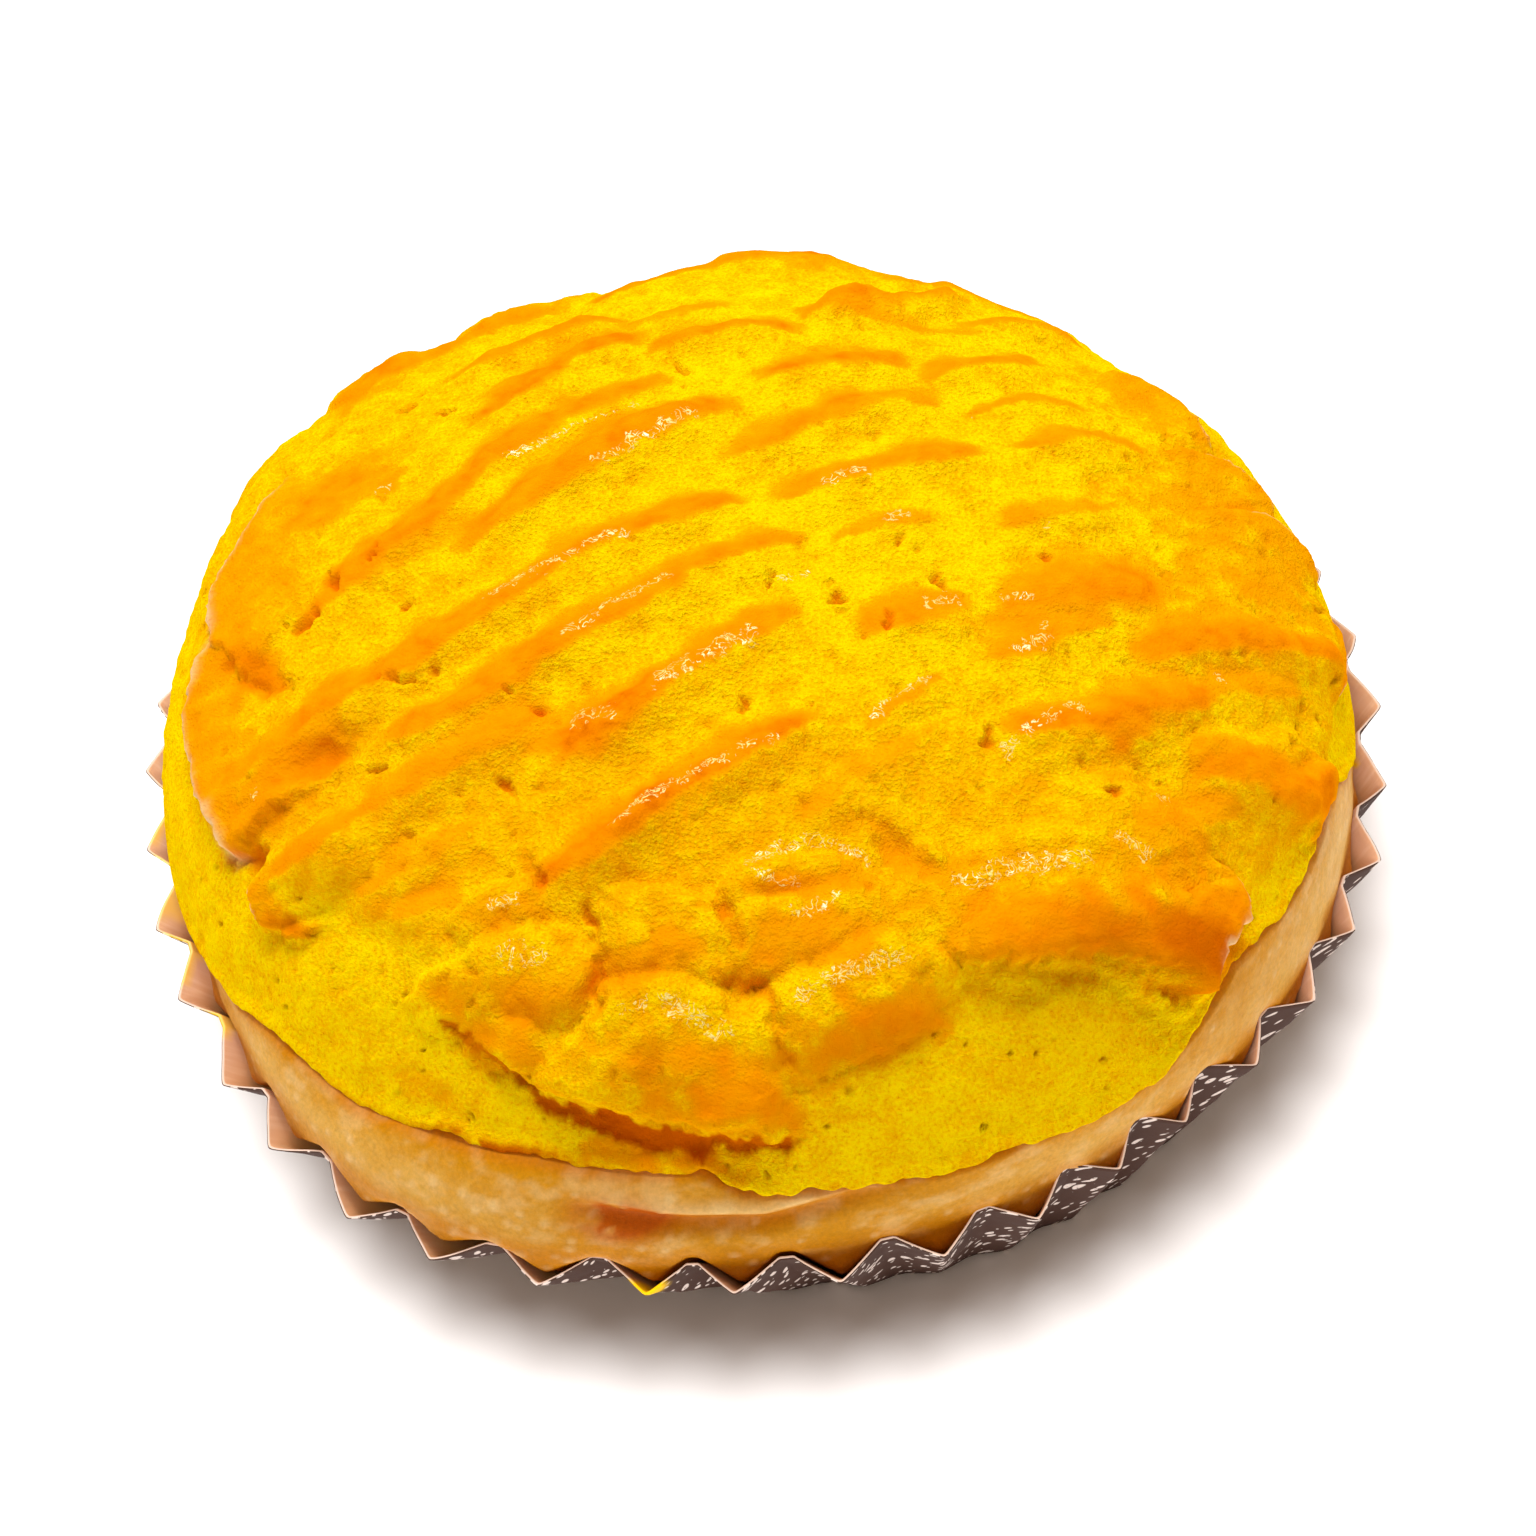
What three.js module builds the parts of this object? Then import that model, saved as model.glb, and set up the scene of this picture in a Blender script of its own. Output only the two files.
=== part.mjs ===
// A pineapple bun in its paper case: a soft round bun in a pleated paper cup, under a baked
// biscuit-dough crust that was raked before baking and has split into ridges, lobes and lumps.
// Millimetres, +Z up. The origin is on the table, under the middle of the whole bun.

import * as THREE from 'three';

// ---- Driving dimensions, in millimetres and degrees ----

// The pleated paper case. Its wall leans out from a flat foot, and further out on one side.
const CASE = {
  pleats: 41,
  firstPleat: 2.6, // bearing of the first outer tip
  paper: 0.6, // measured along a radius, so about 0.5 across the slanting wall
  footCentre: [3.1, -0.4],
  footRadius: 39,
  footPleat: 0.7, // depth of the pleats where they start
  rimCentre: [-0.1, 0.3],
  tipRadius: 52,
  tipHeight: 20,
  pleatDepth: 2.3,
  foldRise: 1.2, // the inner folds stand this much higher than the outer tips
  foldFlat: 0.14, // share of a pleat taken by the flat inner fold
  bands: 2,
  wobble: 0.35,
};

// Where the case's rim is pulled out (and down) or pinched in.
const RIM_PULLS = [
  { bearing: -124, spread: 25, out: 2.8, drop: 1.8 },
  { bearing: -50, spread: 16, out: -1.4, drop: 0 },
];

// The crust is a shell over a dome, whose profile is a superellipse above its widest level.
const CRUST = {
  centre: [-0.6, -0.2],
  radius: 49.5,
  widestLevel: 22,
  topLevel: 46.6,
  squareness: 2.3,
  thickness: 3.2,
  edgeThickness: 1.5,
  reach: 57.6, // length of the crust from its top to its lower edge, along the surface
  rings: 26,
  ragged: 1.6,
};

// Where the whole dome swells out or falls in, so that it isn't a turned shape.
const DOME_SWELLS = [
  { bearing: 147, spread: 20, out: 1.5 },
  { bearing: 20, spread: 24, out: 0.8 },
  { bearing: 115, spread: 24, out: -1.9 },
  { bearing: 60, spread: 18, out: -1.4 },
];

// Stretches where the crust's lower edge is torn away or runs further down.
const EDGE_TEARS = [
  { bearing: -107, spread: 13, pull: -4.0 },
  { bearing: -70, spread: 22, pull: -1.6 },
  { bearing: -33, spread: 17, pull: -5.0 },
  { bearing: 80, spread: 30, pull: -2.0 },
  { bearing: 150, spread: 25, pull: 1.5 },
];

// The bread fills the case up to its folds and bulges a little above the rim.
const BREAD = {
  belly: 48.5,
  bellyLevel: 15,
  footRadius: 35,
  clearance: 0.4,
  underCrust: 0.45,
  belowCrust: 0.9,
  besideCrust: 0.9, // how far the crust's edge stands proud of the bread below it
  sideShares: [0.2, 0.4, 0.6, 0.8, 1], // rings between the case's rim and the crust's edge
  columns: 78,
  domeRings: 7,
};

// Under one side of the crust the bread swells out past the crust's edge.
const BREAD_SWELL = { bearing: -130, spread: 34, out: 2.6 };

// A groove runs along the bread's front, a little below the crust.
const BREAD_GROOVE = { bearing: -86, spread: 24, below: 2.6, width: 1.1, depth: 0.8 };

// Places on the crust are (u, v): distances along the surface from its top, with u along +X
// and v along +Y. A ridge runs from one place to another, bows to its left by bow, and is steep
// on its left and gentle on its right: [fromU, fromV, toU, toV, bow, width, height].
const RIDGES = [
  [-36, 0, -8, 20, 1.4, 3.0, 1.0],
  [-23, 4, -1, 16, 1.9, 3.2, 1.2],
  [-40, -9, -3, 5.5, 1.2, 3.0, 1.1],
  [-23, -11, 0, -0.5, 0.8, 2.6, 1.0],
  [-41, -14, -22, -10, 1.2, 3.2, 1.1],
  [-41, -22, -20, -15, 0.8, 3.0, 1.0],
  [-18, -28, 5, -17, 0.9, 3.0, 1.3],
  [-22, -18, 3, -7.5, -0.7, 3.4, 1.1],
  [1, 4.5, 20, 11.5, 1.0, 2.6, 1.1],
  [0, 12, 15, 18, 1.4, 3.0, 0.9],
  [0, 20, 13, 22.5, 0.9, 2.6, 1.0],
  [-21, 19, -6, 27.5, 1.8, 3.6, 1.3],
  [-25, 28, -12, 32.5, 1.0, 3.2, 1.2],
  [-8, 25, 5, 27.5, 1.0, 2.8, 1.1],
  [14, 20.5, 26, 25, 0.8, 3.0, 1.0],
  [18, 15.5, 30, 19, 0.6, 2.4, 0.8],
  [23, 12, 34, 15, 0.6, 2.6, 0.9],
  [8, 30.5, 20, 36, 0.8, 3.4, 1.2],
  [10, -8, 23, -4, 1.4, 4.2, 1.0],
  [20, -7, 37, -1, 0.9, 4.0, 1.0],
  [4, -20, 15, -11.5, 0.5, 2.0, 0.9],
  [9, -24, 27, -14.5, 0.4, 2.2, 0.9],
  [22, -18, 42, -12, 0.8, 3.6, 1.1],
  [30, -12, 49, -4, 0.8, 3.4, 1.0],
  [-6, 33, 6, 37, 0.6, 3.2, 1.0],
  [-34, 30, -18, 40, 1.0, 3.4, 1.1],
  [-12, 40, 10, 46, 1.2, 3.4, 1.1],
  [14, 41, 32, 39, 2.0, 3.4, 1.1],
  [22, 31, 36, 31, 1.4, 3.2, 1.0],
];

// Thick lobes and lumps of crust that stand over the rest: [u, v, half length, half width,
// heading, height, squareness]. A high squareness is a flat slab with a steep lip.
const LOBES = [
  [0, 0, 44, 44, 0, 0.7, 12],
  [-40, 5, 13, 8, -72, 1.5, 5],
  [-43, -9, 11, 7, -62, 1.6, 5],
  [-38, -24, 6.5, 4.5, 30, 1.3, 3],
  [27, -30.5, 14, 7, 12, 2.6, 4],
  [37, -30, 5, 7, 10, 2.6, 3],
  [43, -17, 7.5, 5, 10, 1.6, 4],
  [47, -4, 8, 5.5, 30, 1.6, 4],
  [46, 12, 9, 6, 40, 1.4, 4],
  [40, 27, 9, 6, 45, 1.3, 4],
  [28, 40, 10, 6, -35, 1.2, 4],
  [8, 45, 11, 6, -5, 1.2, 4],
  [-14, 43, 10, 6, 18, 1.2, 4],
  [-31, 33, 10, 6, 45, 1.2, 4],
  [4.5, -29.5, 8, 3.8, 4, 1.7, 2.4],
  [4, -34, 8, 3.2, 6, 1.6, 2.4],
  [5.5, -40.5, 8, 5, 9, 2.3, 2.6],
  [-8, -43.5, 9, 6.5, -16, 2.1, 3],
  [-20, -36.5, 7, 5, -10, 1.6, 2.4],
  [-9, -30, 7, 3.6, 14, 1.3, 2.4],
  [-30, -28, 7, 3, 12, 0.9, 2.4],
];

// Splits between the lobes: [fromU, fromV, toU, toV, bow, width, depth].
const SPLITS = [
  [-25, -39, -12, -50, -1.0, 1.7, 1.7],
  [-14, -49.5, 2, -50.5, -0.6, 1.9, 2.1],
  [-19, -25, -12, -35, 0.8, 1.5, 1.7],
  [8, -25, 14, -35, 0.6, 2.0, 1.5],
  [14, -37.5, 38, -39, -0.8, 1.7, 1.2],
  [-46, -19, -40, -20.5, 0.4, 1.8, 1.4],
  [-44, -2, -37, -6, -0.6, 1.6, 1.2],
  [-4, -35.5, 12, -37.5, -0.6, 1.3, 1.0],
];

const COLOURS = { crust: 0xf7bd07, bread: 0xd59a48, paper: 0x6b4b42 };

// ---- Small functions ----

const radians = THREE.MathUtils.degToRad;
const mix = THREE.MathUtils.lerp;
const clamp01 = (x) => THREE.MathUtils.clamp(x, 0, 1);

// A repeatable number between -1 and 1 for each whole number.
function scatter(n) {
  const s = Math.sin(n * 127.1 + 11.7) * 43758.5453;
  return 2 * (s - Math.floor(s)) - 1;
}

// Smooth unevenness round the bun: waves of falling height, each with its own phase.
function waver(angle, seed, waves) {
  let sum = 0;
  for (let k = 2; k <= waves; k += 1) {
    sum += Math.cos(k * angle + Math.PI * scatter(seed + k)) / Math.sqrt(k);
  }
  return sum / Math.sqrt(waves);
}

// The angle from a bearing, folded into a half turn each way.
function offBearing(angle, bearing) {
  const d = angle - radians(bearing);
  return Math.atan2(Math.sin(d), Math.cos(d));
}

// 1 on the bearing, falling away as a bell over the spread.
function bell(angle, { bearing, spread }) {
  const d = offBearing(angle, bearing) / radians(spread);
  return Math.exp(-d * d);
}

// ---- The dome that the crust and the bread share ----

// The dome's profile from its top outward, as equal steps of angle with the length run so far.
function domeProfile(steps) {
  const rise = CRUST.topLevel - CRUST.widestLevel;
  const power = 2 / CRUST.squareness;
  const profile = [{ r: 0, z: CRUST.topLevel, run: 0 }];
  for (let k = 1; k <= steps; k += 1) {
    const a = (k / steps) * (Math.PI / 2);
    const r = CRUST.radius * Math.sin(a) ** power;
    const z = CRUST.widestLevel + rise * Math.max(Math.cos(a), 0) ** power;
    const last = profile[k - 1];
    profile.push({ r, z, run: last.run + Math.hypot(r - last.r, z - last.z) });
  }
  return profile;
}

const PROFILE = domeProfile(600);
const DOME_RUN = PROFILE[PROFILE.length - 1].run;

// The profile's radius, height and outward slope at a run along the surface; past the widest
// level it goes straight down.
function domeAt(run) {
  if (run >= DOME_RUN) {
    return { r: CRUST.radius, z: CRUST.widestLevel - (run - DOME_RUN), nr: 1, nz: 0 };
  }
  let k = 1;
  while (PROFILE[k].run < run) k += 1;
  const [a, b] = [PROFILE[k - 1], PROFILE[k]];
  const t = (run - a.run) / (b.run - a.run);
  const length = b.run - a.run;
  return {
    r: mix(a.r, b.r, t),
    z: mix(a.z, b.z, t),
    nr: (a.z - b.z) / length,
    nz: (b.r - a.r) / length,
  };
}

// The dome's radius at a level.
function domeRadius(level) {
  const share = Math.max(level - CRUST.widestLevel, 0) / (CRUST.topLevel - CRUST.widestLevel);
  return CRUST.radius * (1 - share ** CRUST.squareness) ** (1 / CRUST.squareness);
}

// The dome's swells, which grow from nothing at its top.
function swell(angle, run) {
  let out = 0;
  for (const part of DOME_SWELLS) out += part.out * bell(angle, part);
  return out * clamp01(run / DOME_RUN) ** 1.5;
}

// A point off the dome along its outward normal.
function domePoint(angle, run, lift) {
  const { r, z, nr, nz } = domeAt(run);
  const out = lift + swell(angle, run);
  const radius = Math.max(r + nr * out, 0);
  return [
    CRUST.centre[0] + radius * Math.cos(angle),
    CRUST.centre[1] + radius * Math.sin(angle),
    z + nz * out,
  ];
}

// ---- The crust's relief ----

// How far a place lies along a stroke (0 to 1) and to its left, in millimetres.
function alongStroke(u, v, [u0, v0, u1, v1, bow]) {
  const length = Math.hypot(u1 - u0, v1 - v0);
  const [du, dv] = [(u1 - u0) / length, (v1 - v0) / length];
  const t = ((u - u0) * du + (v - v0) * dv) / length;
  const left = (v - v0) * du - (u - u0) * dv - 4 * bow * t * (1 - t);
  return { t, left, length };
}

// A stroke's height: a bell across it, narrower on the left, and fading over its two ends.
function strokeHeight(u, v, stroke, leftShare, rightShare) {
  const [width, height] = stroke.slice(5);
  const { t, left, length } = alongStroke(u, v, stroke);
  const ends = clamp01((Math.min(t, 1 - t) * length) / width + 0.35);
  const across = left / (width * (left > 0 ? leftShare : rightShare));
  return height * ends * Math.exp(-across * across);
}

// A lobe's height: a slab or lump whose plan is an ellipse and whose edge is round.
function lobeHeight(u, v, [lu, lv, long, wide, heading, height, squareness]) {
  const [c, s] = [Math.cos(radians(heading)), Math.sin(radians(heading))];
  const x = ((u - lu) * c + (v - lv) * s) / long;
  const y = ((v - lv) * c - (u - lu) * s) / wide;
  const d = Math.min(Math.hypot(x, y), 1);
  return height * Math.sqrt(1 - d ** squareness);
}

// The whole relief: the highest lobe, the ridges on it, and the splits cut into it.
function relief(u, v) {
  let lobes = 0;
  for (const lobe of LOBES) lobes = Math.max(lobes, lobeHeight(u, v, lobe));
  let ridges = 0;
  for (const ridge of RIDGES) ridges = Math.max(ridges, strokeHeight(u, v, ridge, 0.4, 0.8));
  let splits = 0;
  for (const split of SPLITS) splits = Math.max(splits, strokeHeight(u, v, split, 0.6, 0.6));
  return lobes + ridges - splits;
}

// How far the crust reaches from its top, along the surface, at an angle round the bun.
function crustReach(angle) {
  let reach = CRUST.reach + CRUST.ragged * waver(angle, 31, 24);
  for (const tear of EDGE_TEARS) reach += tear.pull * bell(angle, tear);
  return reach;
}

// The crust thins from its top (0) to its lower edge (1).
function crustThickness(share) {
  return mix(CRUST.thickness, CRUST.edgeThickness, share ** 3);
}

// ---- Mesh helpers ----

function solid(name, points, faces, colour, roughness) {
  const geometry = new THREE.BufferGeometry();
  geometry.setAttribute('position', new THREE.Float32BufferAttribute(points.flat(), 3));
  geometry.setIndex(faces.flat());
  geometry.computeVertexNormals();
  const material = new THREE.MeshStandardMaterial({ color: colour, roughness, metalness: 0 });
  const mesh = new THREE.Mesh(geometry, material);
  mesh.name = name;
  return mesh;
}

// Two triangles for each cell between two closed rings that start at first and second.
function joinRings(faces, first, second, columns) {
  for (let j = 0; j < columns; j += 1) {
    const k = (j + 1) % columns;
    faces.push([first + j, first + k, second + k], [first + j, second + k, second + j]);
  }
}

// A fan from one point to a closed ring, facing the side on which the ring runs anticlockwise.
function fan(faces, centre, ring, columns, flipped) {
  for (let j = 0; j < columns; j += 1) {
    const k = (j + 1) % columns;
    faces.push(flipped ? [centre, ring + k, ring + j] : [centre, ring + j, ring + k]);
  }
}

// A disc whose ring number k has 6k points, so its triangles are all about the same size.
// place(angle, share) gives the point; flipped turns the faces over.
function evenDisc(points, faces, rings, place, flipped) {
  const starts = [];
  for (let k = 0; k <= rings; k += 1) {
    starts.push(points.length);
    for (let j = 0; j < Math.max(6 * k, 1); j += 1) {
      points.push(place(k ? (j / (6 * k)) * 2 * Math.PI : 0, k / rings));
    }
  }
  const at = (k, j) => starts[k] + (k ? j % (6 * k) : 0);
  const face = (a, b, c) => faces.push(flipped ? [a, c, b] : [a, b, c]);
  for (let k = 1; k <= rings; k += 1) {
    for (let sector = 0; sector < 6; sector += 1) {
      for (let i = 0; i < k; i += 1) {
        const outer = sector * k + i;
        const inner = sector * (k - 1) + i;
        face(at(k - 1, inner), at(k, outer), at(k, outer + 1));
        if (i < k - 1) face(at(k - 1, inner), at(k, outer + 1), at(k - 1, inner + 1));
      }
    }
  }
  return starts[rings];
}

// ---- The crust ----

function crustTopping() {
  const points = [];
  const faces = [];
  const top = (angle, share) => {
    const run = share * crustReach(angle);
    const [u, v] = [run * Math.cos(angle), run * Math.sin(angle)];
    const edge = clamp01((1 - share) * 8);
    return domePoint(angle, run, relief(u, v) * edge);
  };
  const underside = (angle, share) => {
    return domePoint(angle, share * crustReach(angle), -crustThickness(share));
  };
  const outer = evenDisc(points, faces, CRUST.rings, top, false);
  const inner = evenDisc(points, faces, CRUST.rings / 2, underside, true);
  const half = 3 * CRUST.rings;
  for (let j = 0; j < half; j += 1) {
    const [a, b, c] = [outer + 2 * j, outer + 2 * j + 1, outer + ((2 * j + 2) % (2 * half))];
    const [p, q] = [inner + j, inner + ((j + 1) % half)];
    faces.push([a, p, b], [b, p, q], [b, q, c]);
  }
  return solid('crust_topping', points, faces, COLOURS.crust, 0.6);
}

// ---- The paper case ----

// Centre, radius and height of the case's wall, from its foot (0) to its rim (1); fold is 1 on
// an inner fold and 0 on an outer tip.
function caseWall(angle, share, fold) {
  const pulls = { out: 0, drop: 0 };
  for (const pull of RIM_PULLS) {
    pulls.out += pull.out * bell(angle, pull);
    pulls.drop += pull.drop * bell(angle, pull);
  }
  const depth = mix(CASE.footPleat, CASE.pleatDepth, share);
  const rim = CASE.tipRadius + pulls.out + CASE.wobble * waver(angle, 71, 9);
  return {
    x: mix(CASE.footCentre[0], CASE.rimCentre[0], share),
    y: mix(CASE.footCentre[1], CASE.rimCentre[1], share),
    r: mix(CASE.footRadius, rim, share) - depth * fold,
    z: share * (CASE.tipHeight + CASE.foldRise * fold - pulls.drop),
  };
}

// The columns of the pleated wall: an outer tip, then the two ends of a flat inner fold.
function pleatColumns() {
  const columns = [];
  const pitch = (2 * Math.PI) / CASE.pleats;
  const half = CASE.foldFlat / 2;
  const first = radians(CASE.firstPleat);
  for (let p = 0; p < CASE.pleats; p += 1) {
    const start = p + 0.09 * scatter(p);
    const next = p + 1 + 0.09 * scatter((p + 1) % CASE.pleats);
    const middle = (start + next) / 2;
    columns.push({ angle: first + start * pitch, fold: 0 });
    columns.push({ angle: first + (middle - half) * pitch, fold: 1 });
    columns.push({ angle: first + (middle + half) * pitch, fold: 1 });
  }
  return columns;
}

function paperCase() {
  const points = [];
  const faces = [];
  const columns = pleatColumns();
  const count = columns.length;
  const wallRing = (share, inset, floor) => {
    const start = points.length;
    for (const { angle, fold } of columns) {
      const wall = caseWall(angle, share, fold);
      const r = wall.r - inset;
      points.push([wall.x + r * Math.cos(angle), wall.y + r * Math.sin(angle), wall.z + floor]);
    }
    return start;
  };
  const outside = [];
  const inside = [];
  for (let k = 0; k <= CASE.bands; k += 1) outside.push(wallRing(k / CASE.bands, 0, 0));
  for (let k = 0; k <= CASE.bands; k += 1) {
    inside.push(wallRing(k / CASE.bands, CASE.paper, k ? 0 : CASE.paper));
  }
  const [x, y] = CASE.footCentre;
  points.push([x, y, 0], [x, y, CASE.paper]);
  for (let k = 0; k < CASE.bands; k += 1) {
    joinRings(faces, outside[k], outside[k + 1], count);
    joinRings(faces, inside[k + 1], inside[k], count);
  }
  joinRings(faces, outside[CASE.bands], inside[CASE.bands], count);
  fan(faces, points.length - 2, outside[0], count, true);
  fan(faces, points.length - 1, inside[0], count, false);
  return solid('paper_case', points, faces, COLOURS.paper, 0.8);
}

// ---- The bread ----

// The widest the bread can be inside the case's folds, measured from the crust's axis.
function roomInCase(angle, level) {
  const share = level / (CASE.tipHeight + CASE.foldRise);
  const wall = caseWall(angle, clamp01(share), 1);
  const dx = wall.x - CRUST.centre[0];
  const dy = wall.y - CRUST.centre[1];
  const along = dx * Math.cos(angle) + dy * Math.sin(angle);
  const across = dy * Math.cos(angle) - dx * Math.sin(angle);
  const room = Math.sqrt(wall.r ** 2 - across ** 2) + along - CASE.paper - BREAD.clearance;
  return share > 1 ? Infinity : room;
}

// The bread's own round-bottomed side, up to the crust.
function bellyRadius(level) {
  const drop = Math.max(BREAD.bellyLevel - level, 0) / BREAD.bellyLevel;
  return mix(BREAD.footRadius, BREAD.belly, Math.sqrt(1 - drop ** 2.2));
}

function breadBody() {
  const points = [];
  const faces = [];
  const rings = [];
  const n = BREAD.columns;
  const [cx, cy] = CRUST.centre;
  const ring = (place) => {
    rings.push(points.length);
    for (let j = 0; j < n; j += 1) points.push(place((j / n) * 2 * Math.PI));
  };
  const sideRing = (levelAt, radiusAt) => ring((angle) => {
    const level = levelAt(angle);
    const r = Math.min(radiusAt(angle, level), roomInCase(angle, level));
    return [cx + r * Math.cos(angle), cy + r * Math.sin(angle), level];
  });
  const rimLevel = CASE.tipHeight + CASE.foldRise;
  const base = CASE.paper + 0.3;
  for (const level of [base, 2.4, 5.5, 9.5, 14, 18, rimLevel]) {
    sideRing(() => level, (angle) => {
      return bellyRadius(level) + BREAD_SWELL.out * bell(angle, BREAD_SWELL);
    });
  }
  const edgeLevel = (angle) => domePoint(angle, crustReach(angle), 0)[2] - BREAD.belowCrust;
  for (const share of BREAD.sideShares) {
    sideRing((angle) => mix(rimLevel, edgeLevel(angle), share), (angle, level) => {
      const d = (edgeLevel(angle) - level - BREAD_GROOVE.below) / BREAD_GROOVE.width;
      const groove = BREAD_GROOVE.depth * bell(angle, BREAD_GROOVE) * Math.exp(-d * d);
      const out = swell(angle, DOME_RUN) + BREAD_SWELL.out * bell(angle, BREAD_SWELL) * (1 - share);
      return domeRadius(level) + out - BREAD.besideCrust - groove;
    });
  }
  for (let k = 0; k < BREAD.domeRings; k += 1) {
    const share = 1 - k / BREAD.domeRings;
    ring((angle) => {
      const run = share * crustReach(angle) + (k ? 0 : BREAD.belowCrust / 2);
      return domePoint(angle, run, -crustThickness(share) - BREAD.underCrust);
    });
  }
  points.push([cx, cy, base], domePoint(0, 0, -CRUST.thickness - BREAD.underCrust));
  for (let k = 1; k < rings.length; k += 1) joinRings(faces, rings[k - 1], rings[k], n);
  fan(faces, points.length - 2, rings[0], n, true);
  fan(faces, points.length - 1, rings[rings.length - 1], n, false);
  return solid('bread_body', points, faces, COLOURS.bread, 0.7);
}

// ---- The whole bun ----

const pineappleBun = new THREE.Group();
pineappleBun.add(paperCase(), breadBody(), crustTopping());

export default pineappleBun;
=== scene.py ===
"""A pineapple bun in its paper case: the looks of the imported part.

The bun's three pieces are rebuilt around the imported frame: the biscuit crust with its raked,
egg-glazed ridges, the milk bread under it, and the pleated baking paper. Sizes are in
millimetres and angles in degrees until a mesh is made, which is in metres.
"""

from __future__ import annotations

import logging
import math
from collections.abc import Sequence
from dataclasses import dataclass
from enum import Enum
from itertools import product

import bpy
import numpy as np
from mathutils import Matrix, Vector


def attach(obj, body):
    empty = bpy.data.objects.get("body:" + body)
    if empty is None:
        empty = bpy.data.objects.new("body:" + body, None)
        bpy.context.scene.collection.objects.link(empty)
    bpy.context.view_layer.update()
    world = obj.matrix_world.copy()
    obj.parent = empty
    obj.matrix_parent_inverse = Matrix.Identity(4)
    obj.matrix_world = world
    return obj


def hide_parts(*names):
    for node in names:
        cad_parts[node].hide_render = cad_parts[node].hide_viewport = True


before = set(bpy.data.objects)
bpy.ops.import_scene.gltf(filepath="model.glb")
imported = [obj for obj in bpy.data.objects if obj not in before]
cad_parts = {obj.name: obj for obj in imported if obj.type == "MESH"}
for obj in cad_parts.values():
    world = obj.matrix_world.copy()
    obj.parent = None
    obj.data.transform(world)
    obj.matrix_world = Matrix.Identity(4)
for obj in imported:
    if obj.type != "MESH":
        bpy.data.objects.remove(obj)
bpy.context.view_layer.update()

MM = 0.001
Array = np.ndarray
Row = Sequence[float]

log = logging.getLogger("pineapple_bun")


# ---- Small numbers ----


def ramp(x: Array, low: float, high: float) -> Array:
    """Blend from 0 at low to 1 at high, level at both ends (3t^2 - 2t^3).

    Args:
        x: The values to blend by.
        low: Where the blend starts; it may be above high, for a falling blend.
        high: Where the blend ends.

    Returns:
        Numbers from 0 to 1.
    """
    t = np.clip((x - low) / (high - low), 0.0, 1.0)
    return t * t * (3.0 - 2.0 * t)


def bell(x: Array, width: float | Array) -> Array:
    """Bell curve: 1 at 0 and exp(-1) at the width."""
    return np.exp(-((x / width) ** 2))


def mix(a: float | Array, b: float | Array, t: float | Array) -> Array:
    """Straight blend from a to b."""
    return a + (b - a) * t


def folded(angle: Array) -> Array:
    """The same angle, within half a turn each way."""
    return np.arctan2(np.sin(angle), np.cos(angle))


def bearing_bell(angle: Array, bearing: float, spread: float) -> Array:
    """Bell round the bun: 1 on the bearing, falling away over the spread, both in degrees."""
    return bell(folded(angle - math.radians(bearing)), math.radians(spread))


def by_bearing(angle: Array, table: tuple[Row, ...]) -> list[Array]:
    """The measures of a table at any angle, blended straight from bearing to bearing.

    Args:
        angle: Angle round the bun's axis, in radians.
        table: Rows of a bearing in degrees and what is measured there, in order of bearing.

    Returns:
        One array for each measure.
    """
    bearings, *measures = np.array(table).T
    return [np.interp(np.degrees(angle), bearings, m, period=360.0) for m in measures]


def seeded(n: int) -> float:
    """A repeatable number between -1 and 1 for a whole number: the fraction of a steep sine."""
    s = math.sin(n * 127.1 + 11.7) * 43758.5453
    return 2.0 * (s - math.floor(s)) - 1.0


def waver(angle: Array, seed: int, waves: int) -> Array:
    """Smooth unevenness round the bun: a sum of cosine waves, each weaker than the last."""
    total = np.zeros_like(angle)
    for k in range(2, waves + 1):
        total += np.cos(k * angle + math.pi * seeded(seed + k)) / math.sqrt(k)
    return total / math.sqrt(waves)


# ---- Noise ----

HASH_STEP = np.uint64(0x9E3779B97F4A7C15)
HASH_FACTOR = np.uint64(0xBF58476D1CE4E5B9)
FIRST_FOLD = np.uint64(31)
SECOND_FOLD = np.uint64(29)
KEPT_BITS = 24
LAYER_FADE = 0.55


def scatter(*keys: Array | int) -> Array:
    """A repeatable number between 0 and 1 for each set of whole numbers.

    Each key is added to the sum, which is then multiplied and folded on itself.

    Args:
        keys: Arrays of whole numbers, or single ones, that shape the number together.

    Returns:
        Evenly spread numbers, one for each element.
    """
    shape = np.broadcast(*keys).shape
    h = np.full(shape, HASH_STEP)
    for key in keys:
        h = (h ^ np.asarray(key, np.int64).astype(np.uint64)) * HASH_FACTOR
        h = (h ^ (h >> FIRST_FOLD)) * HASH_STEP
        h = h ^ (h >> SECOND_FOLD)
    return (h >> np.uint64(64 - KEPT_BITS)).astype(np.float64) / float(1 << KEPT_BITS)


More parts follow.
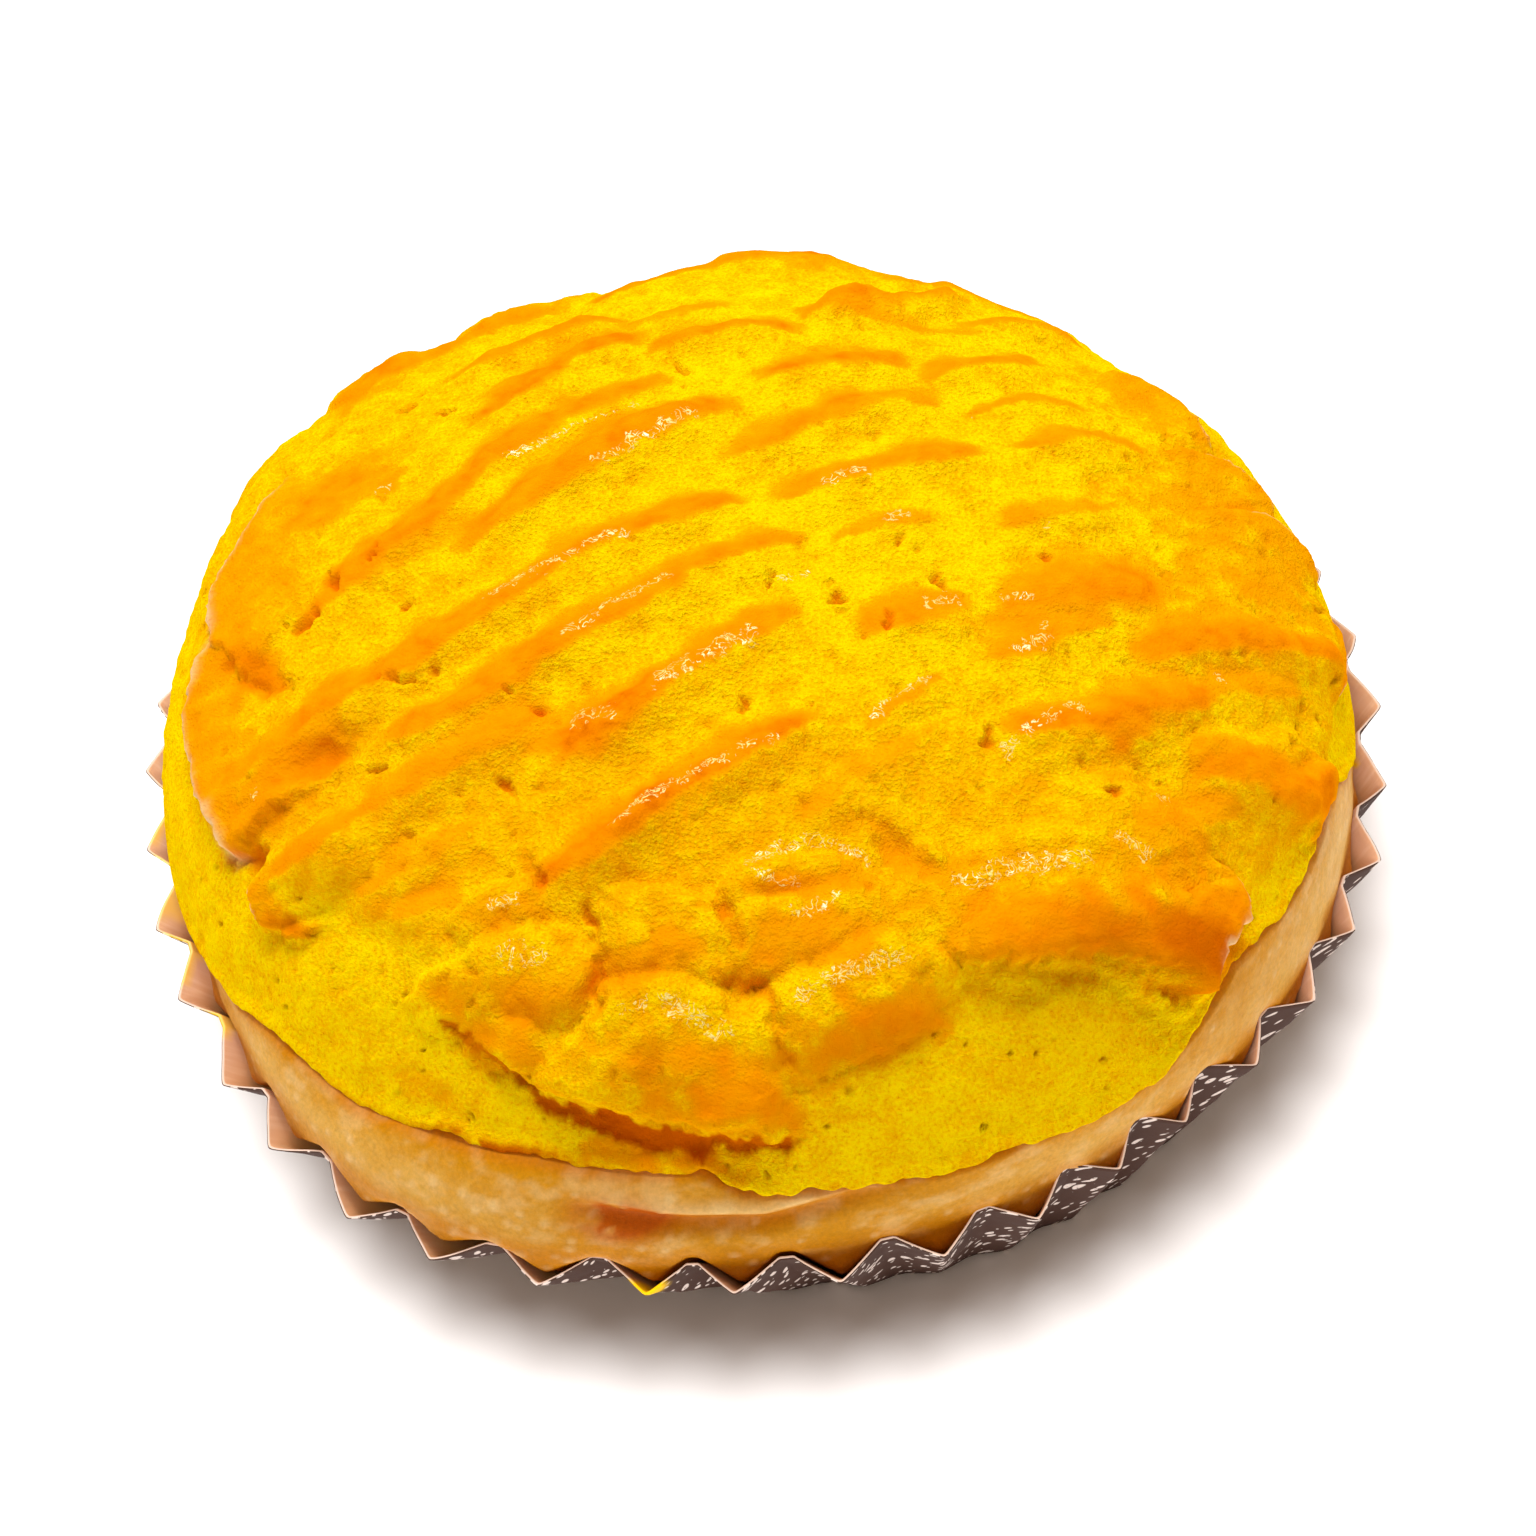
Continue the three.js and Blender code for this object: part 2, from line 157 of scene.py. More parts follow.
def grain(points: Array, cell: float, seed: int) -> Array:
    """Smooth noise between -1 and 1: random values on a lattice, blended between its corners.

    The blend along each axis is 6t^5 - 15t^4 + 10t^3.

    Args:
        points: An array whose last axis holds 2 or 3 coordinates, in millimetres.
        cell: The lattice spacing, in millimetres.
        seed: Chooses the random values.

    Returns:
        One number for each point.
    """
    p = points / cell
    low = np.floor(p)
    t = p - low
    t = t * t * t * (t * (t * 6.0 - 15.0) + 10.0)
    low = low.astype(np.int64)
    axes = points.shape[-1]
    total = np.zeros(points.shape[:-1])
    for corner in range(2**axes):
        weight = np.ones(points.shape[:-1])
        keys = [seed]
        for axis in range(axes):
            high = (corner >> axis) & 1
            weight *= t[..., axis] if high else 1.0 - t[..., axis]
            keys.append(low[..., axis] + high)
        total += weight * scatter(*keys)
    return 2.0 * total - 1.0


def layered_grain(points: Array, cell: float, seed: int, layers: int) -> Array:
    """Noise at several scales: each layer is half the cell and about half the height."""
    total = np.zeros(points.shape[:-1])
    for layer in range(layers):
        total += grain(points, cell / 2**layer, seed + layer) * LAYER_FADE**layer
    return total


def jitter(at: Array, far: float, cell: float, seeds: tuple[int, int], layers: int = 1) -> Array:
    """How noise moves places about, so that an edge drawn through them is no clean curve.

    Args:
        at: The places, as two coordinates on the last axis.
        far: About how far they move, in millimetres.
        cell: The noise's lattice spacing, in millimetres.
        seeds: One for each coordinate.
        layers: How many scales of noise.

    Returns:
        What to add to the places.
    """
    return far * np.stack([layered_grain(at, cell, seed, layers) for seed in seeds], axis=-1)


def nearest_speck(at: Array, cell: float, seed: int) -> tuple[Array, Array]:
    """The nearest of the specks that lie one to each square cell, at random places in it.

    Args:
        at: The places, as two coordinates on the last axis, in millimetres.
        cell: The side of a cell, in millimetres.
        seed: Chooses the specks' places.

    Returns:
        The distance to the nearest speck, and that speck's own number between 0 and 1.
    """
    u, v = at[..., 0], at[..., 1]
    nearest = np.full(u.shape, np.inf)
    own = np.zeros(u.shape)
    for du, dv in product((-1, 0, 1), repeat=2):
        cu = np.floor(u / cell).astype(np.int64) + du
        cv = np.floor(v / cell).astype(np.int64) + dv
        pu = (cu + scatter(cu, cv, seed)) * cell
        pv = (cv + scatter(cu, cv, seed + 1)) * cell
        d = np.hypot(u - pu, v - pv)
        closer = d < nearest
        nearest = np.where(closer, d, nearest)
        own = np.where(closer, scatter(cu, cv, seed + 2), own)
    return nearest, own


# ---- Marks on the crust ----
#
# Places on the crust are (u, v): distances along its surface from its top, u along +X and v
# along +Y, in millimetres. An array of places, always called at, has them on its last axis.


def stroke_bell(at: Array, stroke: Row, width: float, share: float = 1.0) -> Array:
    """A bell across a stroke, which runs from one place to another and bows to its left.

    It is exp(-(d / (share width))^2), where d is the distance to the left of the bowed line,
    and it fades over about half a width at each end.

    Args:
        at: The places.
        stroke: Its ends (u, v, u, v) and its bow.
        width: Its width.
        share: The bell's share of the width.

    Returns:
        Numbers from 0 to 1.
    """
    u0, v0, u1, v1, bow = stroke
    length = math.hypot(u1 - u0, v1 - v0)
    du, dv = (u1 - u0) / length, (v1 - v0) / length
    u, v = at[..., 0] - u0, at[..., 1] - v0
    t = (u * du + v * dv) / length
    left = v * du - u * dv - 4.0 * bow * t * (1.0 - t)
    ends = np.clip(np.minimum(t, 1.0 - t) * length / width + 0.35, 0.0, 1.0)
    return ends * bell(left, width * share)


def oval(at: Array, mark: Row) -> Array:
    """How far out a place lies in an oval: 0 at its middle and 1 on its edge.

    Args:
        at: The places.
        mark: Middle (u, v), half length, half width and heading.

    Returns:
        The distance from the middle, with the oval stretched to a circle of radius 1.
    """
    mu, mv, long, wide, heading = mark
    c, s = math.cos(math.radians(heading)), math.sin(math.radians(heading))
    u, v = at[..., 0] - mu, at[..., 1] - mv
    return np.hypot((u * c + v * s) / long, (v * c - u * s) / wide)


def curve_through(places: tuple[Row, ...], steps: int) -> Array:
    """A smooth curve through places: cubic pieces whose slope follows the neighbours.

    Args:
        places: The (u, v) places.
        steps: How many straight steps stand for each piece.

    Returns:
        Points along the curve, ends included.
    """
    p = np.array(places, float)
    p = np.vstack([2 * p[0] - p[1], p, 2 * p[-1] - p[-2]])
    t = (np.arange(steps) / steps)[:, None]
    pieces = []
    for a, b, c, d in zip(p[:-3], p[1:-2], p[2:-1], p[3:]):
        cubic = (3 * (b - c) + d - a) * t**3 + (2 * a - 5 * b + 4 * c - d) * t**2
        pieces.append(b + 0.5 * (cubic + (c - a) * t))
    return np.vstack([*pieces, p[-2:-1]])


def beside_curve(at: Array, curve: Array) -> tuple[Array, Array, Array]:
    """How places lie beside a curve made of straight steps.

    Args:
        at: The places.
        curve: The curve's points.

    Returns:
        The distance from the curve; the side, from 1 on its left through 0 beyond an end to -1
        on its right; and the share along the curve of the nearest point on it.
    """
    steps = np.diff(curve, axis=0)
    lengths = np.hypot(steps[:, 0], steps[:, 1])
    run = np.concatenate([[0.0], np.cumsum(lengths)])
    nearest = np.full(at.shape[:-1], np.inf)
    side = np.ones(at.shape[:-1])
    share = np.zeros(at.shape[:-1])
    for start, step, length, before in zip(curve, steps, lengths, run):
        du, dv = at[..., 0] - start[0], at[..., 1] - start[1]
        t = np.clip((du * step[0] + dv * step[1]) / length**2, 0.0, 1.0)
        d = np.hypot(du - t * step[0], dv - t * step[1])
        closer = d < nearest - 1e-9
        left = (step[0] * dv - step[1] * du) / (length * np.maximum(d, 1e-6))
        nearest = np.where(closer, d, nearest)
        side = np.where(closer, np.clip(left, -1.0, 1.0), side)
        share = np.where(closer, (before + t * length) / run[-1], share)
    return nearest, side, share


RIDGE_CREST = 0.8  # how far a ridge's crest lies to the right of its line


@dataclass(frozen=True)
class Ridge:
    """A raked ridge of crust: its skin has baked orange, and fades into the crumb beside it.

    Attributes:
        places: (u, v) places along the middle of the band of skin.
        tone: How brown the skin is: 0 is bare crumb and 1 is orange.
        height: How high the ridge stands, in millimetres, as are the next three.
        far: The half width of the band on the left of the way along it.
        near: The half width of the band on the right.
        taper: The length over which it dies away at each end.
    """

    places: tuple[Row, ...]
    tone: float = 0.9
    height: float = 0.9
    far: float = 1.3
    near: float = 1.7
    taper: float = 7.0

    def shape(self, at: Array, uneven: Array) -> tuple[Array, Array]:
        """Its height and its brownness at each place.

        The skin fades softly on the left, as a bell, and breaks off on the right. The crest
        lies near the broken side, and the crust falls away from it over about twice the
        band's width. Both die away at its ends.

        Args:
            at: The places.
            uneven: Numbers from -1 to 1 that make it narrower or wider, and lower or higher.

        Returns:
            The height in millimetres, and the brownness from 0 to about 1.
        """
        curve = curve_through(self.places, 4)
        away, side, share = beside_curve(at, curve)
        left = away * np.sign(side)
        length = np.hypot(*np.diff(curve, axis=0).T).sum()
        inside = np.minimum(share, 1.0 - share) * length
        ends = ramp(inside, -0.15 * self.taper, self.taper)
        narrow = (0.45 + 0.55 * ends) * (1.0 + 0.45 * uneven)
        near = narrow * self.near
        soft_side = bell(left, 1.3 * narrow * self.far)
        broken_side = ramp(left, -1.15 * near, -0.65 * near)
        slope = np.where(left > -RIDGE_CREST, 1.7 * self.far, 1.6 * self.near)
        high = (1.0 + 0.3 * uneven) * bell(left + RIDGE_CREST, slope)
        tone = np.maximum(self.tone * np.where(left > 0.0, soft_side, broken_side), 0.12 * high)
        return 1.35 * self.height * high * ends, tone * ramp(inside, 0.0, 0.5 * self.taper)


RIDGES: tuple[Ridge, ...] = (
    Ridge(((-37, -1), (-29, 6), (-20.3, 13.1), (-14, 18), (-5, 21.5)), 1.0),
    Ridge(((-24.5, 2.6), (-18, 8), (-11, 13.1), (-5.5, 15.8), (0.5, 16.8)), 1.0, 1.1),
    Ridge(
        ((-39, -11.5), (-32.4, -8.2), (-26, -5.8), (-19, -2.2), (-13, 1.8), (-5.3, 4.9), (2, 6.4)),
        1.0, 1.0,
    ),
    Ridge(
        ((-31, -13.8), (-24.6, -12.5), (-19, -10.2), (-13, -6.4), (-6, -2.4), (0.5, 0), (6, 1.6)),
        0.95, 1.0,
    ),
    Ridge(
        ((-19, -18.2), (-13.5, -15.8), (-8.9, -12.9), (-4, -10), (1, -7.2), (5, -5.2)), 0.95, 1.0,
    ),
    Ridge(
        ((-19, -29.6), (-14.6, -27), (-9, -23.8), (-3.9, -20.7), (1, -18.2), (6.5, -15.6)), 1.1, 1.3,
    ),
    Ridge(((-42, -23.6), (-34.6, -21), (-28, -18.6), (-21.5, -16.2), (-14, -13.2)), 0.75, 0.9),
    Ridge(((-46, -12.5), (-39, -11), (-32, -8.4)), 0.8, 0.7),
    Ridge(((-2, 10.8), (3, 12.8), (7, 15.8), (11, 18.8)), 0.95, 0.9, 1.4, 1.8, 5),
    Ridge(((6, 15.4), (12, 17.4), (18, 17.6)), 0.7, 0.7, 1.0, 1.2, 4),
    Ridge(((0, 19.6), (4.5, 21.6), (9, 22.4), (15, 23)), 1.05, 1.0, 1.3, 1.4, 5),
    Ridge(((-8.5, 25), (-3, 27), (1.5, 27.6), (6, 27)), 1.0, 1.1, 1.3, 1.4, 5),
    Ridge(
        ((-22.5, 18.4), (-18.5, 22), (-15, 25.6), (-11, 27.4), (-7, 26.8)), 1.15, 1.3, 1.7, 2.0, 5,
    ),
    Ridge(((-25.5, 27.6), (-19.5, 30), (-14.5, 32.3), (-8.5, 32.6)), 0.95, 1.1, 1.3, 1.5, 5),
    Ridge(((-11, 30), (-5, 32), (1, 33)), 0.6, 0.7, 1.2, 1.4, 5),
    Ridge(((14.5, 20.6), (19.5, 23.2), (26.5, 25.4)), 1.0, 1.0, 1.3, 1.5, 5),
    Ridge(((18, 15.2), (24, 18.3), (30.5, 19.4)), 0.75, 0.8, 1.1, 1.3, 5),
    Ridge(((21.5, 11.6), (27.5, 14.3), (35, 15.2)), 0.85, 0.9, 1.1, 1.4, 5),
    Ridge(((1, 5.2), (7, 7.3), (12, 9.6), (16, 10.6), (21.5, 11.6)), 0.95, 0.9, 1.2, 1.5),
    Ridge(((6, 0.4), (11, 2.6), (17, 4)), 0.5, 0.5, 1.0, 1.3, 5),
    Ridge(((19, 3.2), (26, 5.2), (32, 7.8)), 0.6, 0.6, 1.1, 1.5, 5),
    Ridge(((8, 30.4), (14.5, 29.4), (21.5, 29.8)), 0.55, 0.5, 1.0, 1.2, 4),
    Ridge(((4, 30.2), (10, 31.9), (16, 34.6), (20, 38)), 0.9, 1.1, 1.0, 1.4, 4),
    Ridge(((7.5, -8), (12.5, -6.4), (18.5, -5)), 0.95, 0.8, 1.5, 1.9, 4),
    Ridge(((19, -6.2), (26, -2.8), (34, -2.2)), 0.8, 0.8, 1.7, 2.2, 4),
    Ridge(((17.5, -11), (24, -8.4), (30, -5.4)), 0.75, 0.8, 1.4, 1.8, 5),
    Ridge(((30, -10), (37, -6), (44, -4), (52, -1.6)), 0.95, 0.9, 1.5, 2.0, 5),
    Ridge(((32, -13.4), (39, -10.4), (47, -7.6)), 0.55, 0.6, 1.2, 1.6, 5),
    Ridge(((18.5, -18), (26, -15.6), (32.5, -13.4), (38.5, -12.2)), 0.95, 0.9, 1.4, 1.7, 5),
    Ridge(((34, -20.2), (42, -16.8), (49, -16.6)), 0.9, 0.9, 2.0, 2.4, 5),
    Ridge(((28.5, -25.8), (33, -22.8), (40, -21.5)), 0.6, 0.7, 1.4, 1.6, 4),
    Ridge(((8.5, -18.2), (12, -15), (15.5, -12.3)), 0.6, 0.4, 0.6, 0.7, 3),
    Ridge(((2, -25.4), (9, -20.6), (17, -16.2)), 0.4, 0.4, 0.7, 1.0, 4),
    Ridge(((-30, -29.4), (-26, -28.8), (-22.5, -28.4)), 0.55, 0.4, 0.9, 1.1, 3),
    Ridge(((-34, -27), (-27, -24.5), (-21, -22.6)), 0.5, 0.5, 1.0, 1.3, 5),
    Ridge(((-31.5, 1.8), (-26, 4.6), (-21, 8)), 0.35, 0.3, 0.9, 1.1, 4),
    Ridge(((-36, 28.5), (-26, 36), (-16, 41)), 0.9, 0.7, 1.5, 2.0),
    Ridge(((-14, 39.2), (0, 44.5), (12, 46.8)), 1.0, 0.7, 1.8, 2.6),
    Ridge(((12, 41.2), (24, 43), (34, 38.2)), 0.9, 0.7, 1.5, 2.0),
    Ridge(((18, 31), (26, 32.5), (32, 31.4)), 0.85, 0.9, 1.3, 1.6, 5),
)


@dataclass(frozen=True)
class Mound:
    """A lump of dough that rose through the crust: steep beyond its crest, sloping before it.

    Attributes:
        crest: (u, v) places along its crest.
        far: How far it reaches to the left of its crest, in millimetres, as are the next two.
        near: How far it reaches to the right.
        height: Its height.
    """

    crest: tuple[Row, ...]
    far: float
    near: float
    height: float

    def rise(self, at: Array) -> Array:
        """Its height at each place: h (1 - d^3)^0.9, where d is 1 on its rounded outline."""
        away, side, _ = beside_curve(at, curve_through(self.crest, 3))
        reach = mix(self.near, self.far, ramp(side, -1.0, 1.0))
        return self.height * (1.0 - np.minimum(away / reach, 1.0) ** 3) ** 0.9


MOUNDS: tuple[Mound, ...] = (
    Mound(((-1.5, -31), (0.5, -30.2), (3.5, -29.9), (6.5, -30.2), (8.6, -32)), 1.8, 2.6, 1.9),
    Mound(((-1, -34.3), (1.5, -34.4), (4, -33.9), (6, -33), (9.6, -32.8)), 2.4, 4.2, 2.5),
    Mound(((1.4, -40.4), (4, -39.6), (7, -38.3), (10.2, -37)), 3.0, 6.0, 3.2),
    Mound(((-10, -39.8), (-8, -39.6), (-5, -41), (-2.6, -42.4)), 3.2, 8.4, 2.7),
    Mound(((-10.6, -33), (-9, -32.3), (-6.4, -33.2), (-4.6, -33.9)), 2.6, 5.2, 2.5),
    Mound(((-20.5, -34.4), (-18, -34.2), (-16.4, -35.2)), 2.8, 5.2, 2.4),
    Mound(((-22, -30.2), (-19.4, -29.8)), 1.8, 3.0, 1.6),
    Mound(((-26, -35.2), (-23.6, -35.6)), 2.0, 4.4, 1.8),
    Mound(((-15.4, -42.8), (-13.6, -43.4)), 2.2, 3.6, 1.9),
    Mound(((-23, -39.6), (-21, -40.8)), 2.2, 3.2, 1.4),
    Mound(((-12.6, -43.2), (-11.4, -44)), 1.6, 3.0, 2.2),
    Mound(((13.5, -32.2), (18, -31), (22, -29.8), (26, -28.8), (31, -28)), 4.4, 7.0, 2.2),
    Mound(((28.5, -27), (32, -29.5), (34, -32)), 6.5, 7.5, 1.9),
    Mound(((-40.4, -23), (-37.5, -22.8), (-34, -21.6)), 2.6, 4.4, 1.7),
    Mound(((39, -17), (43, -16), (46, -15)), 3.2, 5.0, 1.3),
    Mound(((37, 30), (42, 24)), 6, 6, 0.4),
    Mound(((32, 38), (24, 42)), 6, 6, 0.6),
    Mound(((12, 45), (4, 45.5)), 6, 6, 0.6),
    Mound(((-22, 41.6), (-17, 43)), 4.4, 4.4, 1.3),
    Mound(((-33.6, 34.4), (-31.4, 36.2)), 4.2, 4.2, 1.4),
    Mound(((-42.4, 22.6), (-40.6, 25)), 4.4, 4.4, 0.6),
    Mound(((44, -1), (46, 5)), 7, 7, 0.8),
)

# Patches of skin: (u, v, half length, half width, heading, brownness).
PATCHES: tuple[Row, ...] = (
    (3, -30.8, 6.0, 1.2, 5, 0.85), (3, -36.2, 7, 2.8, 5, 0.72), (9.4, -41.2, 4.6, 3.0, 14, 0.84),
    (4, -43.4, 5, 2.0, 4, 0.6), (-8, -43.2, 6, 2.6, -10, 0.5), (-2.4, -46.4, 6.4, 3.4, -5, 0.8),
    (-18.5, -37.6, 4.4, 2.2, -10, 0.66), (-8, -35.6, 5, 1.8, 5, 0.7),
    (-21.5, -39.6, 4, 2, -25, 0.6), (-24, -36.6, 3.4, 2.2, 0, 0.55), (-20, -31, 3.4, 1.4, 0, 0.5),
    (21, -33.4, 10, 2.8, 2, 0.76), (34.4, -31, 4.6, 4.0, -20, 0.78),
    (31.6, -32.8, 8, 2.8, -6, 0.84), (33.6, -26.6, 5.0, 3.8, 60, 0.5),
    (-40.5, 7.5, 5.5, 7, 0, 0.52), (-34, 13.6, 5.4, 3.4, 30, 1.0), (-43.2, 1.4, 3.2, 4.4, 0, 0.56),
    (-45.4, -5, 3, 6.4, 10, 0.62), (-43.6, -12, 4, 5, 30, 0.55), (-40, -17.6, 5, 2, 10, 0.5),
    (30, -2.6, 5.2, 3.0, 10, 0.9), (22, -7.5, 3.4, 2.4, 0, 0.8), (29, -16, 5.0, 2.1, 15, 0.9),
    (46, -17, 4.2, 2.8, 0, 1.0), (44, 3, 8, 6, 0, 0.52), (39, 11, 8, 5, 10, 0.45),
    (40, -5, 8, 5, 10, 0.55), (34, 22, 6, 3.4, -40, 0.5), (-7.5, -22.6, 4.2, 1.5, 26, 1.35),
    (-10.8, -14, 3, 1.6, 30, 1.15), (-14, -16.4, 3, 2, 30, 1.05), (-36, -13.4, 5, 3, 20, 0.7),
    (8, 46.5, 12, 5, 0, 0.9), (-31.6, 33.6, 5.4, 3.2, 45, 0.9), (-19, 42, 5.4, 2.6, 12, 0.7),
    (-41, -3, 4.0, 2.6, -45, 0.85), (-12, -50.4, 3.8, 1.7, -14, 0.62),
    (-6.4, -52.4, 4.4, 1.5, -6, 0.66), (-27.4, -28, 3.2, 0.9, 8, 0.8),
    # This last patch browns the skirt left of the crack: painted shade.
    (-30, -42.6, 4.4, 2.0, -40, 0.26),
)

# Hollows and the shaded gaps between lumps: (u, v, half length, half width, heading, depth,
# darkness). The darkness is painted shade; the rows with no depth are painted shade alone,
# on the lumps' near faces and about the big lobe.
HOLLOWS_AND_SHADE: tuple[Row, ...] = (
    (-41, -3.4, 3.4, 1.8, -48, 0.9, 0.16), (-39.6, -5.4, 1.6, 0.6, -20, 0.5, 0.4),
    (-35, -13.8, 4.4, 1.6, 18, 0.9, 0.3), (-42.3, -20.4, 1.6, 1.0, -30, 1.3, 0.5),
    (-38.8, -27.2, 2.8, 0.8, -35, 0.3, 0.45), (-13.4, -32.2, 0.45, 1.5, 12, 0.9, 0.5),
    (-2.6, -33.2, 0.4, 1.2, 35, 0.8, 0.5), (-17.6, -28, 0.45, 1.6, 15, 0.9, 0.5),
    (11, -28.4, 1.3, 3.6, 40, 1.0, 0.1), (-13.4, -38.4, 0.8, 0.5, 10, 0.5, 0.25),
    (-2.8, -38.2, 0.5, 0.9, -25, 0.4, 0.2), (33.4, -37.4, 3.4, 0.7, -10, 0.7, 0.6),
    (24, -37.2, 6, 0.7, 0, 0.3, 0.12), (33.4, -33.6, 6.0, 3.2, -8, 0.0, 0.85),
    (27, -34.2, 8.0, 3.0, 2, 0.0, 0.5), (8, -43.4, 7.0, 2.8, 10, 0.0, 0.32),
    (-8, -45, 7.0, 2.8, -12, 0.0, 0.25), (-20, -38.6, 6.0, 2.2, -14, 0.0, 0.2),
    (26, -41.6, 9.0, 3.0, 4, 0.0, 0.12), (-24, -41.2, 3.4, 1.3, -48, 0.6, 0.4),
)

# Splits that run between the lumps: (fromU, fromV, toU, toV, bow, width, depth, darkness).
SPLITS: tuple[Row, ...] = (
    (-26.5, -38.2, -19.6, -45.2, 0.3, 0.9, 0.5, 0.75),
    (-20.4, -45.2, -13.2, -48.9, -0.2, 1.5, 0.6, 0.95),
    (-15.4, -47.9, -4.5, -50.9, -0.4, 2.2, 0.7, 1.0), (-7, -50.6, 1.8, -50.7, -0.2, 1.5, 0.6, 0.95),
    (-46, -19, -41, -20.6, 0.4, 1.1, 1.0, 0.5), (-0.6, -38, 1.0, -45.5, 0.5, 1.0, 0.7, 0.12),
    (-12.5, -34, -14, -40, 0.4, 1.1, 0.7, 0.1), (-2.4, -32.8, -1.8, -36.4, 0.2, 0.9, 0.5, 0.15),
)

# Slits torn in the crumb: (u, v, half length, half width, heading).
PITS: tuple[Row, ...] = (
    (-34, 3, 1.5, 0.45, 105), (-36, 0, 1.3, 0.7, 20), (-28, -8.6, 1.4, 0.4, -20),
    (-25.2, -9, 0.7, 0.35, 20), (-16.5, -14, 0.85, 0.42, -70), (-20, -20.3, 1.1, 0.42, -12),
    (-4.5, 22.5, 1.0, 0.5, -60), (-24.5, 22, 0.9, 0.4, 10), (-28.5, 24, 0.8, 0.5, 0),
    (15, -3.5, 1.1, 0.35, -60), (10.5, -7.5, 1.4, 0.3, 90), (7, -5, 0.6, 0.45, 0),
    (18.5, -18, 1.0, 0.3, 90), (28, -22.5, 0.8, 0.45, 0), (-1, -15, 0.6, 0.35, 90),
    (-27.5, -1, 0.7, 0.35, 20), (24, -0.5, 0.8, 0.35, 0), (12, 1, 0.5, 0.35, 50),
    (-30, 4.5, 1.1, 0.3, 35), (2, -3, 0.45, 0.28, 80), (-19, -12, 0.5, 0.3, 0),
    (-30, -16.4, 0.9, 0.35, 10),
)

# Where the egg has dried to a wrinkled film, whose glints are painted pale:
# (fromU, fromV, toU, toV, bow, width).
FILM_AND_GLINTS: tuple[Row, ...] = (
    (-31, 12.5, -28.5, 13, 0, 1.5), (-19, 11.8, -8, 18, 0.6, 0.6), (-12, 9.6, -2.4, 15.2, 0.6, 0.8),
    (-21, -3, -8.6, 2.4, 0.5, 1.0), (-15, -8, -5.6, -2.2, 0.5, 1.0),
    (-15, -17, -10, -15.2, 0.5, 1.4), (-8, -13.6, 1, -8.6, 0.4, 1.2),
    (-12, -25.8, 2, -18.8, 0.6, 0.9), (6, 6.3, 10.5, 8, 0.3, 0.9), (10.5, 2.6, 13.5, 4, 0.2, 0.9),
    (13.6, -7.2, 17.2, -5, 0.5, 1.1), (20, -10, 23.6, -7, -0.9, 0.9),
    (19, -5, 22.6, -5.4, 0.5, 0.8), (9, -17, 14.4, -12.4, 0.4, 0.7), (19, -20, 26, -14.6, 0.4, 0.9),
    (37, -10.3, 38.4, -10, 0, 0.7), (-1.6, -29.4, 9, -28.6, 1.6, 1.0),
    (-1, -30, 3.6, -30.6, -0.4, 0.8), (1.6, -34, 6.4, -32.2, 0.2, 0.9),
    (1, -40.5, 11.8, -36.7, 0.5, 1.2), (-11.4, -39, -2.4, -42.2, 0.5, 1.2),
    (-21.4, -34, -16, -35.6, 0.3, 1.3), (-21.4, -30.2, -18.4, -29.8, 0, 0.9),
    (14, -31, 26, -28.2, 0.4, 1.2), (27.4, -25.6, 30, -28.8, 0.5, 1.4),
    (31, -22.5, 33, -21.5, 0, 0.9), (24, 3.2, 24.8, 2.2, 0, 0.7), (2, -3.2, 5, -1.8, 0, 0.6),
    (18.6, 15.4, 19.4, 15.2, 0, 0.5), (-41.4, -15.8, -40, -15.6, 0, 0.7),
)

# Where the pale skirt of crumb begins: (bearing, run from the top).
SKIRT: tuple[Row, ...] = (
    (-180, 50.5), (-165, 49.5), (-150, 46), (-140, 42.5), (-128, 42.5), (-115, 46.5), (-100, 51),
    (-88, 50.5), (-80, 46.5), (-70, 43), (-58, 42.5), (-45, 52), (-35, 50.5), (-25, 50),
    (-10, 52.5), (5, 50.5), (15, 48.5), (28, 46), (40, 44.5), (60, 46.5), (90, 51), (140, 52),
    (160, 51),
)


